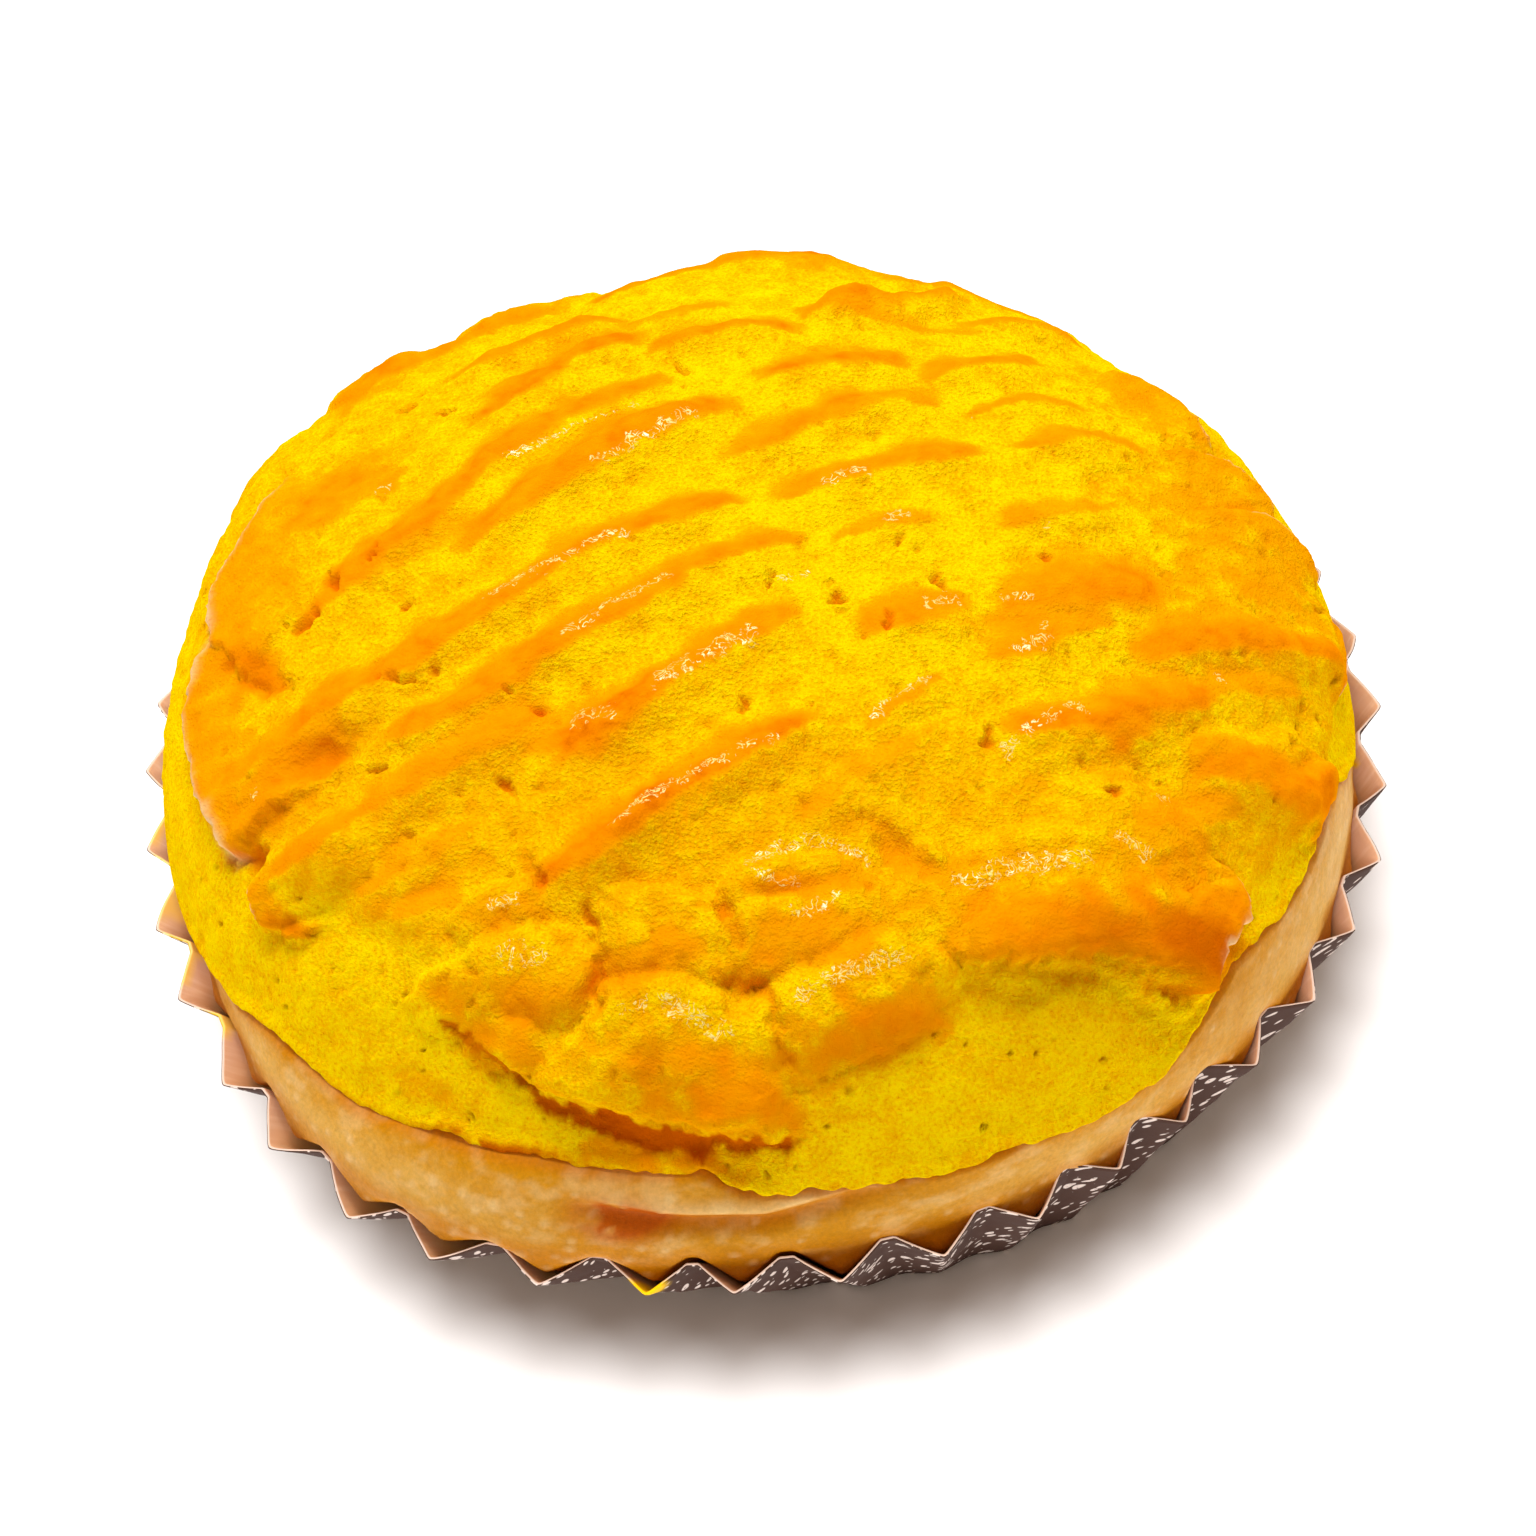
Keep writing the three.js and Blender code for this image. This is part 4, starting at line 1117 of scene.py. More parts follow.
@dataclass(frozen=True)
class PrintedBakingPaper:
    """Thin greaseproof paper, crimped into pleats.

    The outside is printed brown with a scatter of pale brush marks; the inside is the bare
    pinkish tan paper, and the cut edge shows pale. Low down the inside is dark with butter.

    Attributes:
        outside: The colour of the print.
        marks: The colour of the brush marks.
        inside: The colour of the bare paper.
        inside_streak: The colour of its pale streaks.
        oiled: The colour where butter has soaked in.
        cut_edge: The colour of the cut edge.
        stain: The colour of the marks of egg yolk.
        mark_spacing: How far apart the marks are, in millimetres.
        mark_length: How many times as long as wide a mark is.
        mark_heading: How far the marks lean, in degrees.
        bend: How far noise bends them, in millimetres, as are the rest.
        bend_size: The size of that noise.
        wear: The size of the worn places in the marks.
        streak: The width of the streaks.
        fibre: The size of the paper's fibres.
        fibre_height: How far they stand out.
        oiled_levels: Where the butter ends, and where it has soaked right in.
    """

    outside: int = 0x402A22
    marks: int = 0xD2C5BD
    inside: int = 0xD2A584
    inside_streak: int = 0xDDB899
    oiled: int = 0xCC9454
    cut_edge: int = 0xCBB5A6
    stain: int = 0xF0C000
    mark_spacing: float = 0.85
    mark_length: float = 2.8
    mark_heading: float = -24.0
    bend: float = 2.2
    bend_size: float = 5.0
    wear: float = 0.35
    streak: float = 0.5
    fibre: float = 0.3
    fibre_height: float = 0.03
    oiled_levels: tuple[float, float] = (19.5, 16.0)

    def material(self) -> bpy.types.Material:
        """Build the paper's nodes; its UV map is the wrap round it and the rise, in metres.

        The marks are drawn out cells of a pattern whose places noise has bent.
        """
        r = Recipe.named("printed_baking_paper")
        wrap = r.add("UVMap", uv_map="wrap")
        place = r.add("TexCoord", out="Object")
        face, stain = (
            r.add("Attribute", out="Fac", attribute_name=name) for name in ("inside", "stain")
        )
        noise = {"Vector": wrap, "Scale": per_metre(self.bend_size), "Detail": 1.0}
        bend = r.add("TexNoise", noise, "Color")
        bend = r.add("VectorMath", {"Vector": bend, "Scale": self.bend * MM}, operation=Sum.SCALED)
        bent = r.add("VectorMath", (wrap, bend), operation=Sum.PLUS)
        turn = (0.0, 0.0, math.radians(self.mark_heading))
        drawn_out = {"Vector": bent, "Rotation": turn, "Scale": (1.0, self.mark_length, 1.0)}
        drawn_out = r.add("Mapping", drawn_out, vector_type="TEXTURE")
        cells = {"Vector": drawn_out, "Scale": per_metre(self.mark_spacing)}
        cells = r.add("TexVoronoi", cells, "Color", voronoi_dimensions="2D")
        kept = r.add("SeparateColor", (cells,), "Red")
        size = r.add("MapRange", {"Value": kept, "From Min": 0.25, "To Max": 0.46})
        inner = r.add("Math", (size, cells.node.outputs["Distance"]), operation=Sum.MINUS)
        mark = r.add("MapRange", {"Value": inner, "From Max": 0.08})
        noise = {"Vector": place, "Scale": per_metre(self.wear), "Detail": 3.0, "Roughness": 0.6}
        worn = r.add("TexNoise", noise)
        worn = r.add("MapRange", {"Value": worn, "From Min": 0.3, "From Max": 0.42})
        mark = r.add("Math", (mark, worn), operation=Sum.TIMES)

        along = r.add("Mapping", {"Vector": wrap, "Scale": (1.0, 0.06, 1.0)})
        streak = r.add("TexNoise", {"Vector": along, "Scale": per_metre(self.streak)})
        streak = r.add("MapRange", {"Value": streak, "From Min": 0.5, "From Max": 0.75})
        dry, soaked = self.oiled_levels
        rise = r.add("SeparateXYZ", (place,), "Z")
        oiled = r.add("MapRange", {"Value": rise, "From Min": dry * MM, "From Max": soaked * MM})
        bare = linear(self.inside)
        for share, over in ((streak, self.inside_streak), (oiled, self.oiled)):
            coat = {SHARE: share, BELOW: bare, ABOVE: linear(over)}
            bare = r.add("Mix", coat, MIXED, data_type="RGBA")

        colour = linear(self.outside)
        for share, over in (
            (mark, linear(self.marks)),
            (r.add("MapRange", {"Value": face, "From Min": 0.6, "From Max": 0.8}), bare),
            (r.add("Math", (face, 0.5, 0.3), operation=Sum.WITHIN), linear(self.cut_edge)),
            (stain, linear(self.stain)),
        ):
            coat = {SHARE: share, BELOW: colour, ABOVE: over}
            colour = r.add("Mix", coat, MIXED, data_type="RGBA")
        noise = {"Vector": place, "Scale": per_metre(self.fibre), "Detail": 3.0, "Roughness": 0.6}
        fibre = r.add("TexNoise", noise)
        bump = {"Strength": 0.5, "Distance": self.fibre_height * MM, "Height": fibre}
        shader = r.add(
            "BsdfPrincipled",
            {
                "Base Color": colour,
                "Roughness": 0.75,
                "Specular IOR Level": 0.12,
                "Normal": r.add("Bump", bump),
            },
        )
        return r.finish(shader)


# ---- The crust ----


@dataclass(frozen=True)
class CrustTopping:
    """The biscuit crust: one closed shell over the dome, with its ridges, lumps and splits.

    Attributes:
        dome: The round form under it.
        finish: What it is made of.
        edge_thickness: How thick it is where its lower edge rolls over, in millimetres.
        edge_share: The share of each run at which that roll begins.
        ragged: How far the lower edge wanders, in millimetres.
        frayed: How far crumbs make it uneven, in millimetres.
        rings: How many rings of points its top has.
        underside: (run inwards from the edge, depth) of each ring below it, in millimetres.
        palest: The place where the crumb is palest.
        bare: How brown bare crumb is, from 0 to 1.
        pit_depth: How deep the slits torn in the crumb are, in millimetres.
        pore_cell: How far apart its larger pores are, in millimetres.
        pore_share: The share of the places for pores that have one.
        skirt_drop: How far the skirt lies below the raked skin, in millimetres.
        toasted: Bearing and spread of the stretch of lower edge that has toasted.
        reach: (bearing, run from the top to the lower edge).
    """

    dome: Dome
    finish: BiscuitCrust
    edge_thickness: float = 1.0
    edge_share: float = 0.985
    ragged: float = 0.5
    frayed: float = 0.45
    rings: int = 172
    underside: tuple[Row, ...] = (
        (0.05, 0.75), (0.65, 1.0), (3.05, 2.9), (12.05, 3.2), (24.05, 3.2), (40.05, 3.2),
    )
    palest: tuple[float, float] = (12.0, 11.0)
    bare: float = 0.04
    pit_depth: float = 0.7
    pore_cell: float = 2.4
    pore_share: float = 0.4
    skirt_drop: float = 0.6
    toasted: tuple[float, float] = (-116.0, 8.0)
    reach: tuple[Row, ...] = (
        (-180, 62.4), (-165, 62), (-158, 61), (-150, 59.3), (-144, 57.6), (-137, 56.9),
        (-131, 57.2),
        (-123, 56), (-118, 55.2), (-112, 54.4), (-104, 54.2), (-97, 53.6), (-93, 55.6), (-85, 55.7),
        (-75, 56.2), (-66, 55.9), (-57, 56.8), (-51, 56.6), (-46, 54.6), (-40, 52.6), (-33, 53.6),
        (-26, 54.2), (-20, 53.7), (-14, 54.6), (-10, 57.4), (-5, 60.4), (5, 61.6), (40, 61.2),
        (90, 60.4), (130, 61.2), (160, 62.2),
    )

    def reach_at(self, angle: Array) -> Array:
        """How far the crust runs from its top, bearing by bearing, with its ragged edge."""
        (run,) = by_bearing(angle, self.reach)
        return run + self.ragged * waver(angle, 31, 24)

    def fray(self, angle: Array) -> Array:
        """Crumbly unevenness of the lower edge, a millimetre or two wide."""
        round_edge = np.stack([np.cos(angle), np.sin(angle)], axis=-1) * self.dome.radius
        return self.frayed * layered_grain(round_edge, 2.6, 61, 3)

    def skirt(self, at: Array) -> Array:
        """1 on the pale skirt of crumb that hangs below the raked skin, and 0 above it."""
        (start,) = by_bearing(np.arctan2(at[..., 1], at[..., 0]), SKIRT)
        return ramp(np.hypot(at[..., 0], at[..., 1]) - start, -1.4, 1.4)

    def raked(self, at: Array, moved: Array, skirt: Array) -> tuple[Array, Array]:
        """The raked ridges, and the brownness of the crumb, the ridges and the patches of skin.

        Both are sums of cubes, so that the marks run into one another.

        Args:
            at: The places.
            moved: The places as noise has moved them for the marks' edges.
            skirt: Where the skirt is.

        Returns:
            The sum of cubed heights and the sum of cubed brownnesses.
        """
        u, v = at[..., 0], at[..., 1]
        away = np.hypot(u - self.palest[0], v - self.palest[1])
        front = ramp(v, -8.0, -26.0) * ramp(v, -37.0, -27.0)
        base = self.bare + 0.14 * ramp(away, 12.0, 46.0) + 0.1 * front
        brown = mix(base, self.bare, skirt) ** 3
        uneven = layered_grain(at, 5.0, 21, 2)
        mottle = 0.4 * layered_grain(at, 1.8, 33, 2)
        ridges = np.zeros_like(u)
        for part in RIDGES:
            high, tone = part.shape(moved, uneven)
            ridges += high**3
            brown += tone**3
        for *patch, tone in PATCHES:
            brown += (tone * ramp(oval(moved, patch) + mottle, 1.6, 0.1)) ** 3
        return ridges, brown

    def cuts(self, at: Array, shade: Array) -> tuple[Array, Array]:
        """The hollows, splits and pits: the deepest and the darkest of them at each place, the
        darkness being partly painted shade.

        Args:
            at: The places as noise has moved them for the marks' edges.
            shade: The painted shade just outside the slabs' edges.

        Returns:
            The depth in millimetres, and the darkness from 0 to 1.
        """
        gap, dark = np.zeros_like(shade), shade
        # Hollows are painted dark as painted shade; those with no depth are painted shade alone.
        for *shaded_oval, depth, darkness in HOLLOWS_AND_SHADE:
            deep = ramp(oval(at, shaded_oval), 1.4, 0.2)
            gap = np.maximum(gap, depth * deep)
            dark = np.maximum(dark, darkness * deep**1.5)
        for *line, width, depth, darkness in SPLITS:
            deep = stroke_bell(at, line, width, 0.5)
            gap = np.maximum(gap, depth * deep)
            dark = np.maximum(dark, darkness * ramp(deep, 0.25, 0.6))
        for pit in PITS:
            deep = ramp(oval(at, pit), 1.1, 0.7)
            gap = np.maximum(gap, self.pit_depth * deep)
            dark = np.maximum(dark, 0.58 * deep)
        return gap, dark

    def relief(self, at: Array) -> dict[str, Array]:
        """The crust's height over the dome, and what its finish is to show, at each place.

        The height is slabs + cbrt(sum ridge^3) + 0.74 (sum mound^5)^(1/5) - cuts, with crumb
        and a slow swell added. The brownness is cbrt(sum of all brownnesses^3). The places
        are first moved about by noise, so that no edge is a clean curve.

        Args:
            at: The places.

        Returns:
            Arrays named height, tone, dark, torn and wet.
        """
        fine = jitter(at, 0.32, 2.2, (7, 9), 3)
        broken = at + fine + jitter(at, 0.22, 1.0, (15, 17), 2)
        crumbly = at + fine + jitter(at, 0.4, 1.1, (25, 27), 2)
        moved = at + jitter(at, 0.7, 9.0, (5, 6)) + fine
        skirt = self.skirt(moved)
        ridges, brown = self.raked(at, moved, skirt)

        slabs, torn, under = np.zeros((3, len(at)))
        uneven = 1.0 + 0.4 * grain(at, 2.4, 19)
        for lip in LIPS:
            height, tone, pale, shade = lip.shape(broken, uneven)
            slabs = np.maximum(slabs, height)
            brown += tone**3
            torn = np.maximum(torn, pale)
            under = np.maximum(under, shade)

        lumps = broken + jitter(at, 0.7, 4.0, (11, 13))
        mound = sum(part.rise(lumps) ** 5 for part in MOUNDS) ** 0.2
        # The shade just outside the slabs' edges is painted into the darkness.
        gap, dark = self.cuts(crumbly, 0.26 * under)
        # Cuts are painted browner the deeper they go: painted shade in recesses.
        tone = np.cbrt(brown) + 0.35 * np.clip(gap, 0.0, 1.2)
        bare = 1.0 - ramp(tone, 0.3, 0.9)
        d, own = nearest_speck(crumbly, self.pore_cell, 30)
        share = np.clip((self.pore_share - own) / self.pore_share, 0.0, 1.0)
        size = 0.5 * share**1.5 * (1.0 - 0.6 * skirt)
        pore = ramp(d, size + 0.14, 0.4 * size) * (own < self.pore_share) * bare
        gap = np.maximum(gap, 0.4 * pore)
        dark = np.maximum(dark, 0.35 * pore)

        crumb = (0.12 - 0.03 * skirt) * layered_grain(at, 2.2, 40, 2) + 0.1 * grain(at, 0.8, 45)
        crumb += 0.16 * ramp(mound, 0.3, 1.2) * layered_grain(at, 1.9, 53, 3)
        swell = 0.25 * layered_grain(at, 8.0, 50, 2)
        height = slabs + np.cbrt(ridges) + 0.74 * mound - gap - self.skirt_drop * skirt
        film_and_glints = [stroke_bell(at + fine, line, width) for *line, width in FILM_AND_GLINTS]
        return {
            "height": height + crumb * (0.55 + 0.45 * bare) + swell,
            # Low crumb is painted browner and high crumb paler: painted shade and light.
            "tone": np.clip(tone - 0.5 * crumb * bare, 0.0, 1.3),
            "dark": np.clip(dark, 0.0, 1.0),
            "torn": torn,
            "film_and_glints": np.max(film_and_glints, axis=0),
        }

    def toast(self, at: Array, angle: Array, inside: Array) -> Array:
        """Where the lower edge has toasted, in crumbs.

        Args:
            at: The places.
            angle: Their angle round the bun.
            inside: How far inside the lower edge they lie, in millimetres.

        Returns:
            Numbers from 0 to 1.
        """
        crumbs = ramp(layered_grain(at, 1.3, 65, 2), -0.8, 0.1)
        return ramp(inside, 1.2, 0.5) * bearing_bell(angle, *self.toasted) * crumbs

    def mesh(self) -> tuple[Array, Array, dict[str, Array]]:
        """The closed shell: an even disc on top, a rolled lower edge, and a plain underside.

        Returns:
            Its points and triangles, and what its finish is to show at each point.
        """
        angle, share, faces = even_disc(self.rings)
        whole = self.reach_at(angle) + self.fray(angle)
        run = share * mix(self.reach_at(angle), whole, ramp(share, 0.8, 1.0))
        at = np.stack([run * np.cos(angle), run * np.sin(angle)], axis=-1)
        fields = self.relief(at)
        toasted = self.toast(at, angle, whole - run)
        fields["dark"] = np.maximum(fields["dark"], 0.95 * toasted)
        fields["tone"] += 0.4 * toasted
        nose = np.clip((share - self.edge_share) / (1.0 - self.edge_share), 0.0, 1.0)
        fall = 0.5 * self.edge_thickness * (1.0 - np.sqrt(1.0 - nose**2))
        height = mix(fields.pop("height"), 0.0, ramp(whole - run, 1.8, 0.2)) - fall
        top = self.dome.place(angle, run, height)

        columns = 6 * self.rings
        ring = np.arange(columns) / columns * 2.0 * math.pi
        inward, sunk = np.array(self.underside).T[..., None]
        reach = self.reach_at(ring) + self.fray(ring)
        below = np.clip(reach - inward, 2.0, None)
        under = self.dome.place(np.tile(ring, (len(sunk), 1)), below, -sunk).reshape(-1, 3)
        middle = self.dome.place(np.zeros(1), np.zeros(1), -sunk[-1])
        points = np.vstack([top, under, middle])
        walls = ring_faces(len(sunk), columns, len(top))[:, ::-1]
        rim = len(top) - columns + np.arange(columns)
        rim = np.stack([rim, rim + columns])
        nxt = np.roll(rim, -1, axis=1)
        join = as_triangles(np.stack([rim[0], rim[1], nxt[1], nxt[0]], axis=1))
        inner = len(points) - 1 - columns + np.arange(columns)
        cap = fan(len(points) - 1, inner, True)
        extra = np.zeros(len(points) - len(top))
        fields = {name: np.concatenate([f, extra]) for name, f in fields.items()}
        return points, np.vstack([faces, join, walls, cap]), fields

    def build(self) -> bpy.types.Object:
        """Make the crust and dress it."""
        points, faces, fields = self.mesh()
        piece = make_piece("biscuit_crust", points, faces, "crust_topping")
        for name, values in fields.items():
            paint(piece, name, values)
        piece.data.materials.append(self.finish.material())
        return piece


# ---- The paper case ----


@dataclass(frozen=True)
class PaperCase:
    """The pleated paper cup: outer tips, flat-topped inner folds and a flat round foot.

    Attributes:
        finish: What it is made of.
        pleats: How many pleats it has.
        first_pleat: The bearing of the first outer tip.
        unevenness: How far a tip may stray, as a share of a pleat.
        paper: The paper's thickness, in millimetres, as are the next few.
        crown: How far the cut edge stands up in its middle.
        foot_centre: Where the foot's middle lies.
        foot_radius: The foot's radius at its tips.
        foot_pleat: How deep the pleats are at the foot.
        rim_centre: Where the rim's middle lies.
        tip_radius: The rim's radius at its tips.
        tip_height: How high the tips stand.
        pleat_depth: How deep the pleats are at the rim.
        fold_rise: How much higher the inner folds stand.
        fold_flat: The share of a pleat that its flat inner fold takes.
        tip_softness: How round a tip is, as a share of the depth.
        fold_softness: How round an inner fold's corners are.
        wobble: How far the rim wanders.
        buckles: (height, width) of the paper's buckles.
        unrolled: How much longer the paper is than the way round its tips.
        steps: How many columns one side of a pleat has.
        bands: How many rings of points each face of the wall has.
        rim_pulls: (bearing, spread, pull outwards, drop) where the rim is out of true.
        stains: (bearing, spread, level, depth) of the marks of egg yolk.
        faint: Bearing and spread of the stretch where those marks are faint.
    """

    finish: PrintedBakingPaper
    pleats: int = 41
    first_pleat: float = 2.6
    unevenness: float = 0.09
    paper: float = 0.32
    crown: float = 0.1
    foot_centre: tuple[float, float] = (3.1, -0.4)
    foot_radius: float = 39.0
    foot_pleat: float = 0.7
    rim_centre: tuple[float, float] = (-0.1, 0.3)
    tip_radius: float = 52.0
    tip_height: float = 20.0
    pleat_depth: float = 2.3
    fold_rise: float = 1.2
    fold_flat: float = 0.14
    tip_softness: float = 0.06
    fold_softness: float = 0.03
    wobble: float = 0.35
    buckles: tuple[Row, ...] = ((0.28, 7.0), (0.1, 2.6))
    unrolled: float = 1.1
    steps: int = 9
    bands: int = 26
    rim_pulls: tuple[Row, ...] = ((-124, 25, 2.8, 1.8), (-50, 16, -1.4, 0.0))
    stains: tuple[Row, ...] = (
        (-102, 1.6, 20.0, 3.4), (-175, 2.0, 20.6, 0.8), (-167, 2.0, 19.0, 3.5),
        (-158, 4.5, 20.5, 0.5), (-151, 1.6, 20.5, 1.0), (-164, 16.0, 21.0, 0.9),
        (-3.2, 0.5, 19.4, 0.8),
    )
    faint: tuple[float, float] = (-168.0, 28.0)

    def columns(self) -> tuple[Array, Array]:
        """The columns of the pleated wall.

        A pleat goes straight from an outer tip to a flat inner fold and back, with its
        corners taken off over a few close columns.

        Returns:
            Each column's angle, and its fold: 0 on an outer tip and 1 on an inner fold.
        """
        flat = 1.0 - self.fold_flat
        near = np.array([0.0, 0.02, 0.05, 0.09])
        rising = np.concatenate([near, np.linspace(0.14, flat - 0.05, self.steps), [flat - 0.02]])
        level = np.array([flat + 0.02, flat + 0.05])
        half = np.concatenate([rising, level])
        phase = np.concatenate([half, [1.0], (2.0 - half)[:0:-1]])
        climb = np.clip(1.0 - np.abs(phase - 1.0), 0.0, flat) / flat
        tip, top = self.tip_softness, self.fold_softness
        fold = np.sqrt(climb**2 + tip**2) - tip
        fold = 1.0 - (np.sqrt((1.0 - fold) ** 2 + top**2) - top)
        strays = np.array([seeded(pleat) for pleat in range(self.pleats)])
        starts = np.arange(self.pleats) + self.unevenness * strays
        ends = np.append(starts[1:], starts[0] + self.pleats)
        turns = starts[:, None] + (ends - starts)[:, None] * phase / 2.0
        pitch = 2.0 * math.pi / self.pleats
        angle = math.radians(self.first_pleat) + turns * pitch
        return angle.ravel(), np.tile(fold, self.pleats)

    def wall(self, angle: Array, share: Array, fold: Array) -> tuple[Array, Array, Array, Array]:
        """The wall's axis, radius and level, from its foot (0) to its rim (1).

        Args:
            angle: Angle round the case.
            share: Share of the wall's height.
            fold: 1 on an inner fold and 0 on an outer tip.

        Returns:
            The axis' x and y, the radius, and the level.
        """
        out = np.zeros_like(angle)
        drop = np.zeros_like(angle)
        for bearing, spread, pull, fall in self.rim_pulls:
            out = out + pull * bearing_bell(angle, bearing, spread)
            drop = drop + fall * bearing_bell(angle, bearing, spread)
        depth = mix(self.foot_pleat, self.pleat_depth, share)
        rim = self.tip_radius + out + self.wobble * waver(angle, 71, 9)
        x = mix(self.foot_centre[0], self.rim_centre[0], share)
        y = mix(self.foot_centre[1], self.rim_centre[1], share)
        r = mix(self.foot_radius, rim, share) - depth * fold
        z = share * (self.tip_height + self.fold_rise * fold - drop)
        return x, y, r, z

    def fold_at(self, angle: Array) -> Array:
        """The fold at any angle: 0 on an outer tip and 1 on an inner fold."""
        columns, fold = self.columns()
        return np.interp(angle, columns, fold, period=2.0 * math.pi)

    def rim_level(self, angle: Array) -> Array:
        """The level of the rim at any angle."""
        return self.wall(angle, np.ones_like(angle), self.fold_at(angle))[3]

    def inner_radius(self, angle: Array, level: Array, pleated: bool) -> Array:
        """How far the dome's upright axis is from the paper's inner face.

        The case's own axis leans, so the bearing round it is found by three corrections.

        Args:
            angle: Angle round the dome's axis.
            level: Height over the table.
            pleated: Whether to follow the pleats, or only the inner folds.

        Returns:
            The distance at each place.
        """
        turn = angle
        for _ in range(3):
            fold = self.fold_at(turn) if pleated else np.ones_like(turn)
            share = np.clip(level / (self.tip_height + self.fold_rise * fold), 0.0, 1.0)
            x, y, r, _ = self.wall(turn, share, fold)
            dx = x + (r - self.paper) * np.cos(turn) - Dome.centre[0]
            dy = y + (r - self.paper) * np.sin(turn) - Dome.centre[1]
            turn = turn + folded(angle - np.arctan2(dy, dx))
        return np.hypot(dx, dy)

    def build(self) -> bpy.types.Object:
        """Make the case and dress it.

        The rings go up the outside, over the cut edge, and down the inside; a disc closes
        each end. Slight buckles keep the facets from being flat.
        """
        angle, fold = self.columns()
        count = len(angle)
        up = np.linspace(0.0, 1.0, self.bands) ** 0.9
        share = np.concatenate([up, [1.0, 1.0], up[::-1]])
        inset = np.concatenate([np.zeros(self.bands), [0.3, 0.7], np.ones(self.bands)])
        crown = np.concatenate([np.zeros(self.bands), [self.crown] * 2, np.zeros(self.bands)])
        floor = np.concatenate([np.zeros(self.bands + 2), 1.0 - ramp(up[::-1], 0.0, 0.06)])
        a = np.tile(angle, (len(share), 1))
        s = np.tile(share[:, None], (1, count))
        x, y, r, z = self.wall(a, s, np.tile(fold, (len(share), 1)))
        around = np.stack([np.cos(a) * r, np.sin(a) * r, z * 1.4], axis=-1)
        buckle = sum(h * grain(around, w, 81 + i) * s for i, (h, w) in enumerate(self.buckles))
        r = r - inset[:, None] * self.paper + buckle
        z = z + crown[:, None] + floor[:, None] * self.paper
        points = np.stack([x + r * np.cos(a), y + r * np.sin(a), z], axis=-1).reshape(-1, 3)
        ends = np.array([[*self.foot_centre, 0.0], [*self.foot_centre, self.paper]])
        faces = ring_faces(len(share), count)
        last = (len(share) - 1) * count + np.arange(count)
        total = len(points)
        faces = np.vstack([faces, fan(total, np.arange(count), True), fan(total + 1, last, False)])
        points = np.vstack([points, ends])
        piece = make_piece("pleated_paper_case", points, faces, "paper_case")

        inside = np.repeat(inset, count)
        paint(piece, "inside", np.concatenate([inside, [0.0, 1.0]]))
        paint(piece, "stain", np.concatenate([self.stain(a, z).ravel(), [0.0, 0.0]]))
        self.wrap(piece, a, s)
        piece.data.materials.append(self.finish.material())
        return piece

    def stain(self, angle: Array, level: Array) -> Array:
        """Where egg yolk has marked the rim: bells round a bearing and a level."""
        total = np.zeros_like(angle)
        for bearing, spread, height, depth in self.stains:
            spot = bearing_bell(angle, bearing, spread) * bell(level - height, depth)
            total = np.maximum(total, ramp(spot, 0.25, 0.6))
        return total * (1.0 - 0.45 * bearing_bell(angle, *self.faint))

    def wrap(self, piece: bpy.types.Object, angle: Array, share: Array) -> None:
        """Give the paper its UV map: the way round it and the way up it, in metres.

        Args:
            piece: The case.
            angle: The angle of each wall point, which grows all the way round.
            share: The height share of each wall point.
        """
        round_it = angle * self.tip_radius * self.unrolled
        up_it = share * math.hypot(self.tip_height, self.tip_radius - self.foot_radius)
        uv = np.vstack([np.stack([round_it.ravel(), up_it.ravel()], axis=1), np.zeros((2, 2))]) * MM
        corners = np.zeros(len(piece.data.loops), np.int32)
        piece.data.loops.foreach_get("vertex_index", corners)
        values = uv[corners].reshape(-1, 3, 2)
        turn = 2.0 * math.pi * self.tip_radius * self.unrolled * MM
        far = values[..., 0].max(axis=1, keepdims=True) - values[..., 0] > turn / 2
        values[..., 0] += np.where(far, turn, 0.0)
        layer = piece.data.uv_layers.new(name="wrap")
        layer.data.foreach_set("uv", values.astype(np.float32).ravel())


# ---- The bread ----


